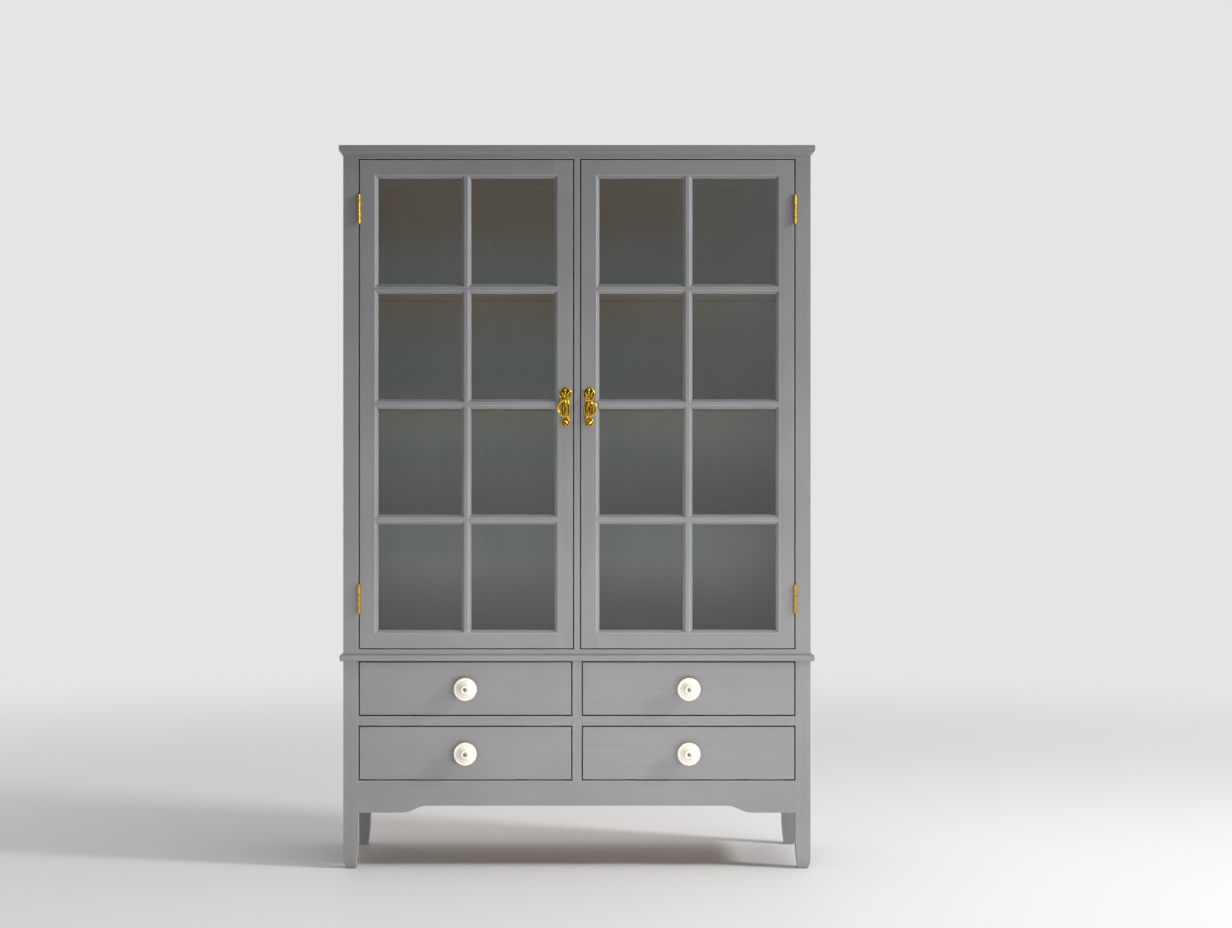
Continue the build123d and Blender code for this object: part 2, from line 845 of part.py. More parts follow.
def make_drawer_front(row_base):
    """Drawer front of the left column, grooved for its bottom and drilled for the knob."""
    low_z = row_base + drawer_gap
    with BuildPart() as front:
        board(
            -drawer_outer_x,
            -drawer_inner_x,
            front_y,
            drawer_front_back_y,
            low_z,
            low_z + drawer_front_height,
        )
        groove_z = low_z + drawer_bottom_rise - drawer_groove_play / 2
        board(
            drawer_board_thickness + drawer_side_inset - drawer_outer_x,
            -drawer_board_thickness - drawer_side_inset - drawer_inner_x,
            drawer_front_back_y - drawer_groove_depth,
            drawer_front_back_y,
            groove_z,
            groove_z + drawer_bottom_thickness + drawer_groove_play,
            mode=Mode.SUBTRACT,
        )
        with BuildSketch(face_plane(front_y)):
            with Locations((-drawer_centre_x, low_z + drawer_front_height / 2)):
                Circle(knob_screw_radius + knob_bore_play)
        extrude(amount=-drawer_front_thickness, mode=Mode.SUBTRACT)
    return front.part


def make_drawer_box(row_base):
    """Sides, back and bottom of a drawer of the left column."""
    low_z = row_base + drawer_gap
    bottom_z = low_z + drawer_bottom_rise
    top_z = low_z + drawer_side_height
    outer_x = drawer_side_inset - drawer_outer_x
    inner_x = -drawer_side_inset - drawer_inner_x
    groove_z = bottom_z - drawer_groove_play / 2
    groove_height = drawer_bottom_thickness + drawer_groove_play
    back_front_y = drawer_back_y - drawer_board_thickness
    panel_edge = drawer_groove_depth - drawer_groove_play
    box_low_x = outer_x + drawer_board_thickness
    box_high_x = inner_x - drawer_board_thickness
    with BuildPart() as box:
        for low, high in ((outer_x, box_low_x), (box_high_x, inner_x)):
            board(low, high, drawer_front_back_y, drawer_back_y, low_z, top_z)
        board(
            box_low_x - drawer_groove_depth,
            box_high_x + drawer_groove_depth,
            drawer_front_back_y,
            drawer_back_y,
            groove_z,
            groove_z + groove_height,
            mode=Mode.SUBTRACT,
        )
        board(
            box_low_x + joint_gap,
            box_high_x - joint_gap,
            back_front_y,
            drawer_back_y,
            groove_z + groove_height,
            top_z,
        )
        board(
            box_low_x - panel_edge,
            box_high_x + panel_edge,
            drawer_front_back_y + joint_gap,
            drawer_back_y,
            bottom_z,
            bottom_z + drawer_bottom_thickness,
        )
    return box.part


def knob_plane(row_base):
    """Plane through a knob's axis, seen from the side: x is the reach, y the radius."""
    knob_z = row_base + drawer_gap + drawer_front_height / 2
    return Plane(origin=(-drawer_centre_x, front_y, knob_z), x_dir=(0, -1, 0), z_dir=(1, 0, 0))


def make_knob(row_base):
    """Turned knob: foot, neck, wide rim, stepped rings and a nose with a screw recess."""
    section = knob_plane(row_base)
    bore = knob_screw_radius + knob_bore_play
    recess = knob_screw_head_radius + knob_bore_play
    recess_floor = knob_nose_height - knob_recess_depth
    rim_front = knob_rim_height + knob_rim_thickness
    with BuildPart() as knob:
        with BuildSketch(section):
            with BuildLine():
                Polyline(
                    (recess_floor, recess),
                    (recess_floor, bore),
                    (0, bore),
                    (0, knob_foot_radius),
                    (knob_foot_height, knob_foot_radius),
                    (knob_neck_height, knob_neck_radius),
                )
                TangentArc(
                    (knob_neck_height, knob_neck_radius),
                    (knob_rim_height, knob_radius),
                    tangent=(1, 0),
                )
                Polyline(
                    (knob_rim_height, knob_radius),
                    (rim_front, knob_radius),
                    (knob_groove_height, knob_groove_radius),
                    (knob_groove_height, knob_ring_radius),
                )
                TangentArc(
                    (knob_groove_height, knob_ring_radius),
                    (knob_ring_height, knob_ring_radius - (knob_ring_height - knob_groove_height)),
                    tangent=(1, 0),
                )
                Polyline(
                    (knob_ring_height, knob_ring_radius - (knob_ring_height - knob_groove_height)),
                    (knob_waist_height, knob_waist_radius),
                    (knob_nose_height, knob_nose_radius),
                    (knob_nose_height, recess),
                    (recess_floor, recess),
                )
            make_face()
        revolve(axis=Axis(section.origin, section.x_dir))
    return knob.part


def make_knob_screw(row_base):
    """Slotted screw through the knob and the drawer front, with its nut behind."""
    screw_plane = Plane(
        origin=knob_plane(row_base).origin,
        x_dir=(1, 0, 0),
        z_dir=(0, -1, 0),
    )
    seat = screw_plane.offset(knob_nose_height - knob_recess_depth)
    head_top = screw_plane.offset(knob_projection)
    nut_seat = screw_plane.offset(-drawer_front_thickness)
    screw_reach = knob_projection + drawer_front_thickness + knob_nut_height
    with BuildPart() as screw:
        with BuildSketch(seat):
            Circle(knob_screw_head_radius)
        extrude(amount=knob_screw_head_height)
        with BuildSketch(seat):
            Circle(knob_screw_radius)
        extrude(amount=knob_screw_head_height - screw_reach)
        with BuildSketch(head_top):
            Rectangle(2 * knob_screw_head_radius, knob_slot_width, rotation=-50)
        extrude(amount=-knob_slot_depth, mode=Mode.SUBTRACT)
        with BuildSketch(nut_seat):
            RegularPolygon(knob_nut_radius, 6)
            Circle(knob_screw_radius + joint_gap, mode=Mode.SUBTRACT)
        extrude(amount=-knob_nut_height)
    return screw.part


# Four drawers: each one is made for the left column and mirrored for the right
for row, row_base in row_bases.items():
    for piece, made in (
        ("front", make_drawer_front(row_base)),
        ("box", make_drawer_box(row_base)),
        ("knob", make_knob(row_base)),
        ("knob_screw", make_knob_screw(row_base)),
    ):
        save(made, f"{row}_left_drawer_{piece}")
        save_mirrored(made, f"{row}_right_drawer_{piece}")
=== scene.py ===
"""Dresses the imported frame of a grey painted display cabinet.

Sizes in the classes are millimetres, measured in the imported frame: the front faces -Y and the
floor is z = 0. Meshes and finishes, and the studio's lamps, floor and camera, are in metres.
"""

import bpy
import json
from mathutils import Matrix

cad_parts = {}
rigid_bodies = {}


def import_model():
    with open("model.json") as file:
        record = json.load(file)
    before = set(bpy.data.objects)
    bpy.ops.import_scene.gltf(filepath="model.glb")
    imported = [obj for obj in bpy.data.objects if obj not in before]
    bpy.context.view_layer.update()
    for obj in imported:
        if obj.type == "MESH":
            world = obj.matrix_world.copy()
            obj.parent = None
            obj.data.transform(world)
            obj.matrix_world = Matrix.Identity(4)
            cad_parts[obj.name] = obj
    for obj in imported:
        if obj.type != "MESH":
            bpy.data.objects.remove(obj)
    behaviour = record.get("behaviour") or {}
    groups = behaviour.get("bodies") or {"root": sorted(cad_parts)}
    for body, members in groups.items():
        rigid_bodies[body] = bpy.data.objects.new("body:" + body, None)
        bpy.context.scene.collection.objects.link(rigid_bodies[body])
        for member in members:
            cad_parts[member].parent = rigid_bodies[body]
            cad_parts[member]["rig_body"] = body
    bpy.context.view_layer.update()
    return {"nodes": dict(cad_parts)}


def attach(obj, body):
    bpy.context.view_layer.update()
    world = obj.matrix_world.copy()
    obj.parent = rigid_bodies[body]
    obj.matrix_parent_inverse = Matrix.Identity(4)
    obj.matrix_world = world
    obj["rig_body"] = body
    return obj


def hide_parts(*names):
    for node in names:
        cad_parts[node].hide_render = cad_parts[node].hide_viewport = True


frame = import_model()

import json
import logging
import math
from abc import ABC, abstractmethod
from collections.abc import Iterable, Sequence
from dataclasses import dataclass, field
from enum import Enum

import bmesh
import bpy
from mathutils import Vector
from mathutils.bvhtree import BVHTree

LOG = logging.getLogger("cabinet")
MM = 0.001
WELD = 1e-6  # points nearer than this, in metres, are one
SLIVER = 1e-7  # faces thinner than this, in metres, are dropped
SHARP = 50.0  # edges of a new shape above this many degrees stay sharp
QUARTER = math.pi / 2

Colour = tuple[float, float, float]
Point = tuple[float, float, float]
Pair = tuple[float, float]
Row = list[Vector]
Socket = bpy.types.NodeSocket
Sockets = bpy.types.bpy_prop_collection


def linear(red: float, green: float, blue: float) -> Colour:
    """Turn an sRGB colour of 0 to 255 into the linear colour that shaders take.

    Args:
        red: Red channel.
        green: Green channel.
        blue: Blue channel.

    Returns:
        The three linear channels, 0 to 1.
    """

    def channel(value: float) -> float:
        """One channel by the standard's own curve."""
        share = value / 255
        return share / 12.92 if share <= 0.04045 else ((share + 0.055) / 1.055) ** 2.4

    return channel(red), channel(green), channel(blue)


class Named(Enum):
    """An option whose name stands in the names of pieces."""

    @property
    def word(self) -> str:
        """The option as it stands there."""
        return self.name.lower()


class Side(Named):
    """Left or right half of the cabinet, as its viewer sees it."""

    LEFT = -1
    RIGHT = 1


class DrawerRow(Named):
    """The two rows of drawers, with the height of their knobs."""

    UPPER = 414.75
    LOWER = 266.25


# ---------------------------------------------------------------- shader graphs


class Graph:
    """A node tree that is filled by short calls."""

    def __init__(self, tree: bpy.types.NodeTree) -> None:
        """Start with an empty tree."""
        self.tree = tree
        tree.nodes.clear()

    def add(self, kind: str, inputs: dict | None = None, **settings: object) -> bpy.types.Node:
        """Add one node.

        Args:
            kind: Shader node class without its ShaderNode prefix.
            inputs: Socket name or number to a plain value or to an output socket.
            settings: Plain properties of the node.

        Returns:
            The new node.
        """
        node = self.tree.nodes.new(f"ShaderNode{kind}")
        for name, value in settings.items():
            setattr(node, name, value)
        for key, value in (inputs or {}).items():
            self.feed(node.inputs[key], value)
        return node

    def feed(self, socket: Socket, value: object) -> None:
        """Link an output to a socket, or set the socket's own value.

        Args:
            socket: The input.
            value: An output socket or a plain value. A colour may come without its alpha.
        """
        if isinstance(value, Socket):
            self.tree.links.new(value, socket)
        elif socket.type == "RGBA" and len(value) == 3:
            socket.default_value = (*value, 1)
        else:
            socket.default_value = value

    def math(self, operation: str, *values: object, clamp: bool = False) -> Socket:
        """A Math node's output."""
        node = self.add("Math", dict(enumerate(values)), operation=operation, use_clamp=clamp)
        return node.outputs[0]

    def times(self, first: object, second: object) -> Socket:
        """Two values multiplied."""
        return self.math("MULTIPLY", first, second)

    def ramp(
        self, value: object, low: float, high: float, start: float = 0, end: float = 1
    ) -> Socket:
        """Map a value from one range to another, smoothly and clamped.

        Args:
            value: What is mapped.
            low: Where the range starts.
            high: Where the range ends.
            start: The output at low.
            end: The output at high.

        Returns:
            The mapped value's socket.
        """
        inputs = {0: value, 1: low, 2: high, 3: start, 4: end}
        return self.add("MapRange", inputs, interpolation_type="SMOOTHSTEP").outputs[0]

    def mix(self, share: object, first: object, second: object) -> Socket:
        """A colour mix's output."""
        node = self.add("Mix", {0: share, 6: first, 7: second}, data_type="RGBA")
        return node.outputs[2]

    def noise(self, vector: Socket, scale: object, detail: float, rough: float = 0.5) -> Socket:
        """Plain noise over a vector, 0 to 1."""
        inputs = {"Vector": vector, "Scale": scale, "Detail": detail, "Roughness": rough}
        return self.add("TexNoise", inputs).outputs[0]

    def scaled(self, vector: Socket, scale: Point) -> Socket:
        """A vector with each axis scaled on its own."""
        return self.add("Mapping", {"Vector": vector, "Scale": scale}).outputs[0]

    def streaks(self, vector: Socket, scale: Point, detail: float, rough: float = 0.5) -> Socket:
        """Noise with its own scale on each axis."""
        return self.noise(self.scaled(vector, scale), 1, detail, rough)

    def bump(self, height: Socket, distance: float, normal: Socket | None = None) -> Socket:
        """A Bump node's output.

        Args:
            height: The height, as a share of the distance.
            distance: How high a height of 1 stands, in metres.
            normal: The normal that it is laid on.

        Returns:
            The bumped normal.
        """
        inputs = {"Height": height, "Distance": distance}
        if normal is not None:
            inputs["Normal"] = normal
        return self.add("Bump", inputs).outputs[0]

    def position(self) -> Socket:
        """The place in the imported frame, in metres."""
        return self.add("NewGeometry").outputs["Position"]

    def mask(self, name: str) -> Socket:
        """A mesh attribute's value."""
        return self.add("Attribute", attribute_name=name).outputs["Fac"]

    def rays(self, *kinds: str) -> Socket:
        """A mask of the kinds of ray that reach the surface.

        Args:
            kinds: Kinds of ray, in the Light Path node's words.

        Returns:
            1 for these kinds and 0 for the others.
        """
        path = self.add("LightPath").outputs
        mask = path[f"Is {kinds[0]} Ray"]
        for kind in kinds[1:]:
            mask = self.math("MAXIMUM", mask, path[f"Is {kind} Ray"])
        return mask

    def principled(self, colour: object, rough: object, **others: object) -> Socket:
        """A Principled shader's output.

        Args:
            colour: Base Color.
            rough: Roughness.
            others: Further sockets by name, with _ for a space.

        Returns:
            The shader.
        """
        inputs = {"Base Color": colour, "Roughness": rough}
        inputs |= {name.replace("_", " "): value for name, value in others.items()}
        return self.add("BsdfPrincipled", inputs).outputs[0]

    def blend(self, share: Socket, first: Socket, second: Socket) -> Socket:
        """Two shaders mixed."""
        return self.add("MixShader", {0: share, 1: first, 2: second}).outputs[0]


class Effect(ABC):
    """A shader node group that is built once and used by several finishes.

    Attributes:
        takes: Its inputs, each with the kind and the first value of its socket.
        gives: Its outputs, each with the kind of its socket.
    """

    name: str
    takes: dict[str, tuple[str, object]]
    gives: dict[str, str]

    @abstractmethod
    def wire(self, graph: Graph, given: Sockets) -> tuple[Socket, ...]:
        """Fill the group.

        Args:
            graph: The group's graph.
            given: The group's inputs.

        Returns:
            What the group gives, in the order of gives.
        """

    def group(self) -> bpy.types.NodeTree:
        """Build the node group on first use.

        Returns:
            The group.
        """
        known = bpy.data.node_groups.get(self.name)
        if known:
            return known
        tree = bpy.data.node_groups.new(self.name, "ShaderNodeTree")
        for name, (kind, value) in self.takes.items():
            socket = tree.interface.new_socket(
                name, in_out="INPUT", socket_type=f"NodeSocket{kind}"
            )
            if value is not None:
                socket.default_value = value
        for name, kind in self.gives.items():
            tree.interface.new_socket(name, in_out="OUTPUT", socket_type=f"NodeSocket{kind}")
        graph = Graph(tree)
        source = tree.nodes.new("NodeGroupInput")
        sink = tree.nodes.new("NodeGroupOutput")
        for socket, value in zip(sink.inputs, self.wire(graph, source.outputs)):
            graph.feed(socket, value)
        return tree

    def place(self, graph: Graph, *inputs: object) -> Sockets:
        """Put the group into a material.

        Args:
            graph: The material's graph.
            inputs: Values or output sockets, in the order of takes.

        Returns:
            The outputs of the group node.
        """
        node = graph.tree.nodes.new("ShaderNodeGroup")
        node.node_tree = self.group()
        for socket, value in zip(node.inputs, inputs):
            graph.feed(socket, value)
        return node.outputs


class BrushStrokes(Effect):
    """Fine ridges that a brush leaves along a board, with a slower sway."""

    name = "brush_strokes"
    takes = {"Vector": ("Vector", None), "Along": ("Float", 3.0), "Across": ("Float", 500.0)}
    gives = {"Height": "Float", "Streak": "Float"}

    broad_scale, lump_scale = 0.22, 260
    fine_share, broad_share, lump_share = 0.35, 0.5, 0.15

    def wire(self, graph: Graph, given: Sockets) -> tuple[Socket, ...]:
        """Mix a fine and a broad set of streaks with small lumps.

        Args:
            graph: The group's graph.
            given: The group's inputs.

        Returns:
            The strokes' height, and the broad streaks.
        """
        vector, along, across = (given[name] for name in self.takes)
        streaks = []
        for scale, detail in ((1.0, 2), (self.broad_scale, 3)):
            wide = graph.times(across, scale)
            scales = graph.add("CombineXYZ", {0: graph.times(along, scale * 2), 1: wide, 2: wide})
            factors = {0: vector, 1: scales.outputs[0]}
            spread = graph.add("VectorMath", factors, operation="MULTIPLY").outputs[0]
            streaks.append(graph.noise(spread, 1, detail, 0.6))
        fine, broad = streaks
        lumps = graph.noise(vector, self.lump_scale, 2)
        fine = graph.times(fine, self.fine_share)
        strokes = graph.math("ADD", fine, graph.times(broad, self.broad_share))
        return graph.math("MULTIPLY_ADD", lumps, self.lump_share, strokes), broad


class Mottle(Effect):
    """Two close colours in soft patches."""

    name = "mottle"
    takes = {
        "Vector": ("Vector", None),
        "Scale": ("Float", 4.0),
        "First": ("Color", (1, 1, 1, 1)),
        "Second": ("Color", (0, 0, 0, 1)),
    }
    gives = {"Color": "Color"}

    patch_edge = (0.3, 0.7)

    def wire(self, graph: Graph, given: Sockets) -> tuple[Socket, ...]:
        """Blend the colours over broad noise.

        Args:
            graph: The group's graph.
            given: The group's inputs.

        Returns:
            The mixed colour.
        """
        patch = graph.ramp(graph.noise(given["Vector"], given["Scale"], 4, 0.6), *self.patch_edge)
        return (graph.mix(patch, given["First"], given["Second"]),)


class EdgeWear(Effect):
    """Where hands and cloths have rubbed the arrises."""

    name = "edge_wear"
    takes = {"Vector": ("Vector", None), "Arris": ("Float", 0.0), "Amount": ("Float", 0.5)}
    gives = {"Mask": "Float"}

    broad_scale, fine_scale = 9, 160
    unworn, worn_span, contrast = 0.78, 0.4, 9

    def wire(self, graph: Graph, given: Sockets) -> tuple[Socket, ...]:
        """Keep parts of the arris by two sizes of noise.

        Args:
            graph: The group's graph.
            given: The group's inputs.

        Returns:
            How worn the surface is.
        """
        vector, arris, amount = (given[name] for name in self.takes)
        broad = graph.noise(vector, self.broad_scale, 3)
        fine = graph.noise(vector, self.fine_scale, 3, 0.7)
        spots = graph.math("MULTIPLY_ADD", fine, 0.5, graph.times(broad, 0.5))
        start = graph.math("SUBTRACT", self.unworn, graph.times(amount, self.worn_span))
        above = graph.math("SUBTRACT", spots, start)
        return (graph.times(graph.math("MULTIPLY", above, self.contrast, clamp=True), arris),)


class CreviceDirt(Effect):
    """Dust and old polish in corners and gaps."""

    name = "crevice_dirt"
    takes = {"Vector": ("Vector", None), "Distance": ("Float", 0.006), "Amount": ("Float", 0.5)}
    gives = {"Mask": "Float"}

    samples = 6
    depth = (0.58, 0.9)
    patch_scale, patch_edge, patch_range = 60, (0.25, 0.7), (0.45, 1)

    def wire(self, graph: Graph, given: Sockets) -> tuple[Socket, ...]:
        """Take what is near other surfaces, broken up by noise.

        Args:
            graph: The group's graph.
            given: The group's inputs.

        Returns:
            How dirty the surface is.
        """
        vector, distance, amount = (given[name] for name in self.takes)
        near = graph.add("AmbientOcclusion", {"Distance": distance}, samples=self.samples)
        deep = graph.ramp(graph.math("SUBTRACT", 1, near.outputs["AO"]), *self.depth)
        noise = graph.noise(vector, self.patch_scale, 3)
        patchy = graph.ramp(noise, *self.patch_edge, *self.patch_range)
        return (graph.times(deep, graph.times(patchy, amount)),)


class HairCracks(Effect):
    """Sparse short checks in the paint, in line with the wood under it."""

    name = "hair_cracks"
    takes = {"Vector": ("Vector", None), "Share": ("Float", 0.5)}
    gives = {"Mask": "Float"}

    line_scale, line_edge = (22, 520, 520), (0.7, 0.76)
    patch_scale, patch_edge = (7, 14, 14), (0.66, 0.74)

    def wire(self, graph: Graph, given: Sockets) -> tuple[Socket, ...]:
        """Thin lines of stretched noise, kept in a few patches.

        Args:
            graph: The group's graph.
            given: The group's inputs.
        """
        vector, share = (given[name] for name in self.takes)
        thin = graph.ramp(graph.streaks(vector, self.line_scale, 2), *self.line_edge)
        patch = graph.ramp(graph.streaks(vector, self.patch_scale, 2), *self.patch_edge)
        return (graph.times(graph.times(thin, patch), share),)


class TimberGrain(Effect):
    """Growth rings of softwood along a board."""

    name = "timber_grain"
    takes = {
        "Vector": ("Vector", None),
        "Pale": ("Color", (1, 1, 1, 1)),
        "Deep": ("Color", (0, 0, 0, 1)),
    }
    gives = {"Color": "Color", "Height": "Float"}

    sway_scale, sway = (2.2, 9, 9), 9
    ring_stretch = (0.6, 55, 55)
    rings = {"Scale": 0.44, "Distortion": 2.5, "Detail": 2}
    fibre_scale = (16, 900, 900)
    fibre_share, ring_share = 0.5, 0.4

    def wire(self, graph: Graph, given: Sockets) -> tuple[Socket, ...]:
        """Bend wide rings by noise and add fine fibres.

        Args:
            graph: The group's graph.
            given: The group's inputs.

        Returns:
            The wood's colour, and how high its grain stands.
        """
        vector, pale, deep = (given[name] for name in self.takes)
        bend = graph.times(graph.streaks(vector, self.sway_scale, 3), self.sway)
        bent = graph.add("CombineXYZ", {1: bend}).outputs[0]
        place = graph.add("VectorMath", {0: graph.scaled(vector, self.ring_stretch), 1: bent})
        inputs = {"Vector": place.outputs[0], **self.rings}
        wave = graph.add("TexWave", inputs, bands_direction="DIAGONAL").outputs[1]
        fibre = graph.streaks(vector, self.fibre_scale, 3, 0.7)
        tone = graph.math(
            "MULTIPLY_ADD", fibre, self.fibre_share, graph.times(wave, self.ring_share)
        )
        return graph.mix(tone, pale, deep), tone


class Handling(Effect):
    """Smears and fine scratches that vary how glossy a hard surface is."""

    name = "handling"
    takes = {"Vector": ("Vector", None), "Low": ("Float", 0.1), "High": ("Float", 0.3)}
    gives = {"Roughness": "Float", "Scratch": "Float"}

    smear_scale, smear_edge = 120, (0.35, 0.72)
    scratch_scale, scratch_edge = (300, 4500, 4500), (0.62, 0.72)

    def wire(self, graph: Graph, given: Sockets) -> tuple[Socket, ...]:
        """Spread the roughness over smears, and draw scratches by stretched noise.

        Args:
            graph: The group's graph.
            given: The group's inputs.

        Returns:
            The roughness, and where the scratches are.
        """
        vector, low, high = (given[name] for name in self.takes)
        smear = graph.ramp(graph.noise(vector, self.smear_scale, 4, 0.6), *self.smear_edge)
        rough = graph.math("MULTIPLY_ADD", smear, graph.math("SUBTRACT", high, low), low)
        scratch = graph.streaks(vector, self.scratch_scale, 2)
        return rough, graph.ramp(scratch, *self.scratch_edge)


# ---------------------------------------------------------------- finishes


@dataclass(frozen=True)
class Finish(ABC):
    """A surface finish, made into one material on first use.

    In every finish an edge is the range of a mask over which a change comes in, a share is how
    far the change covers what was there, a scale is that of a noise, and a reach, a distance or
    a depth is in metres. Two roughnesses hold at the two ends of such a range.

    Attributes:
        name: The material's name.
        slot: The record's material slot.
    """

    name: str
    slot: str

    @abstractmethod
    def shade(self, graph: Graph) -> Socket:
        """Wire the finish.

        Args:
            graph: The material's graph.

        Returns:
            Its shader.
        """

    def material(self) -> bpy.types.Material:
        """Build the material on first use.

        Returns:
            The material.
        """
        known = bpy.data.materials.get(self.name)
        if known:
            return known
        made = bpy.data.materials.new(self.name)
        made.use_nodes = True
        graph = Graph(made.node_tree)
        graph.add("OutputMaterial", {"Surface": self.shade(graph)})
        return made

    @staticmethod
    def grain(graph: Graph) -> Socket:
        """Coordinates with x along the board, in metres."""
        return graph.add("Attribute", attribute_name="grain").outputs["Vector"]


@dataclass(frozen=True)
class SatinPaint(Finish):
    """Brushed satin paint over wood."""

    colour: Colour = linear(138, 137, 139)
    shade_colour: Colour = linear(132, 131, 132)
    worn_colour: Colour = linear(190, 187, 185)
    dirt_colour: Colour = linear(26, 23, 22)
    wear: float = 0.5
    dirt: float = 1.0
    dirt_reach: float = 0.01
    checks: float = 0.6  # how dark the hair cracks are
    patch_scale: float = 5.0
    stroke_scale: Pair = (3.0, 420.0)
    streak_edge: Pair = (0.25, 0.75)
    worn_shares: Point = (0.06, 0.4, 0.6)  # of streaks, of arrises and of worn spots
    gloss_edge: Pair = (0.2, 0.8)
    roughness: Pair = (0.36, 0.5)
    dirt_roughness: float = 0.3
    stroke_depth: float = 0.0001
    check_depth: float = 0.0004
    specular: float = 0.42

    def shade(self, graph: Graph) -> Socket:
        """Layer mottle, strokes, wear, checks and dirt.

        Args:
            graph: The material's graph.

        Returns:
            The shader.
        """
        grain = self.grain(graph)
        strokes = BrushStrokes().place(graph, grain, *self.stroke_scale)
        tint = Mottle().place(graph, grain, self.patch_scale, self.colour, self.shade_colour)
        arris = graph.mask("arris")
        worn = EdgeWear().place(graph, grain, arris, self.wear)["Mask"]
        check = HairCracks().place(graph, grain, self.checks)["Mask"]
        grime = CreviceDirt().place(graph, grain, self.dirt_reach, self.dirt)["Mask"]
        streak = graph.ramp(strokes["Streak"], *self.streak_edge)
        colour = tint["Color"]
        for mask, share in zip((streak, arris, worn), self.worn_shares):
            colour = graph.mix(graph.times(mask, share), colour, self.worn_colour)
        colour = graph.mix(graph.math("MAXIMUM", grime, check), colour, self.dirt_colour)
        rough = graph.ramp(strokes["Streak"], *self.gloss_edge, *self.roughness)
        rough = graph.math("MULTIPLY_ADD", grime, self.dirt_roughness, rough, clamp=True)
        normal = graph.bump(strokes["Height"], self.stroke_depth)
        normal = graph.bump(graph.math("SUBTRACT", 1, check), self.check_depth, normal)
        return graph.principled(colour, rough, Normal=normal, Specular_IOR_Level=self.specular)


@dataclass(frozen=True)
class BareWood(Finish):
    """Planed softwood that was left unpainted."""

    pale: Colour = linear(212, 190, 154)
    deep: Colour = linear(178, 146, 108)
    dirt_colour: Colour = linear(48, 36, 26)
    dirt: float = 0.9
    dirt_reach: float = 0.02
    roughness: Pair = (0.62, 0.5)
    depth: float = 0.00012
    specular: float = 0.3

    def shade(self, graph: Graph) -> Socket:
        """Grain, fibres and a little dirt.

        Args:
            graph: The material's graph.

        Returns:
            The shader.
        """
        grain = self.grain(graph)
        wood = TimberGrain().place(graph, grain, self.pale, self.deep)
        grime = CreviceDirt().place(graph, grain, self.dirt_reach, self.dirt)["Mask"]
        colour = graph.mix(grime, wood["Color"], self.dirt_colour)
        rough = graph.ramp(wood["Height"], 0, 1, *self.roughness)
        normal = graph.bump(wood["Height"], self.depth)
        return graph.principled(colour, rough, Normal=normal, Specular_IOR_Level=self.specular)


@dataclass(frozen=True)
class Brass(Finish):
    """Polished brass with a dark patina in its hollows."""

    colour: Colour = linear(248, 210, 84)
    deep_colour: Colour = linear(232, 180, 52)
    patina: Colour = linear(38, 24, 12)
    roughness: Pair = (0.1, 0.22)
    patch_scale: float = 160.0
    dirt_reach: float = 0.006
    hollow_edge: Pair = (0.0, 0.42)
    patina_share: float = 0.97
    patina_roughness: float = 0.35
    lump_scale: float = 420.0
    scratch_share: float = -0.25
    depth: float = 0.00014

    def shade(self, graph: Graph) -> Socket:
        """Metal with smears, scratches and patina.

        Args:
            graph: The material's graph.

        Returns:
            The shader.
        """
        place = graph.position()
        grime = CreviceDirt().place(graph, place, self.dirt_reach, 1.0)
        hollow = graph.ramp(graph.mask("hollow"), *self.hollow_edge)
        dark = graph.math("MAXIMUM", hollow, grime["Mask"], clamp=True)
        tint = Mottle().place(graph, place, self.patch_scale, self.colour, self.deep_colour)
        colour = graph.mix(graph.times(dark, self.patina_share), tint["Color"], self.patina)
        touch = Handling().place(graph, place, *self.roughness)
        rough = graph.math(
            "MULTIPLY_ADD", dark, self.patina_roughness, touch["Roughness"], clamp=True
        )
        lumps = graph.noise(place, self.lump_scale, 3)
        height = graph.math("MULTIPLY_ADD", touch["Scratch"], self.scratch_share, lumps)
        return graph.principled(colour, rough, Normal=graph.bump(height, self.depth), Metallic=1)


@dataclass(frozen=True)
class Porcelain(Finish):
    """White glazed porcelain with faint crazing."""

    colour: Colour = linear(242, 238, 230)
    cream: Colour = linear(236, 227, 212)
    stain: Colour = linear(150, 122, 88)
    patch_scale: float = 55.0
    cell_scale: float = 190.0
    craze_width: float = 0.035
    craze: float = 0.16
    dirt: float = 0.45
    dirt_reach: float = 0.004
    groove_share: float = 0.32
    roughness: Pair = (0.08, 0.2)
    wave_scale: float = 90.0
    wave_depth: float = 0.0003
    glaze: float = 0.7
    glaze_roughness: float = 0.04
    translucence: Pair = (0.08, 0.004)  # how far light soaks in, as a share and in metres

    def shade(self, graph: Graph) -> Socket:
        """Glaze over a warm body, with stain in the turned grooves.

        Args:
            graph: The material's graph.

        Returns:
            The shader.
        """
        place = graph.position()
        tint = Mottle().place(graph, place, self.patch_scale, self.colour, self.cream)
        cells = {"Vector": place, "Scale": self.cell_scale}
        cell = graph.add("TexVoronoi", cells, feature="DISTANCE_TO_EDGE").outputs["Distance"]
        craze = graph.ramp(cell, 0, self.craze_width, self.craze, 0)
        grime = CreviceDirt().place(graph, place, self.dirt_reach, self.dirt)["Mask"]
        groove = graph.times(graph.mask("hollow"), self.groove_share)
        soiled = graph.math("MAXIMUM", graph.math("MAXIMUM", craze, grime), groove)
        touch = Handling().place(graph, place, *self.roughness)
        return graph.principled(
            graph.mix(soiled, tint["Color"], self.stain),
            touch["Roughness"],
            Normal=graph.bump(graph.noise(place, self.wave_scale, 2), self.wave_depth),
            Coat_Weight=self.glaze,
            Coat_Roughness=self.glaze_roughness,
            Subsurface_Weight=self.translucence[0],
            Subsurface_Scale=self.translucence[1],
        )


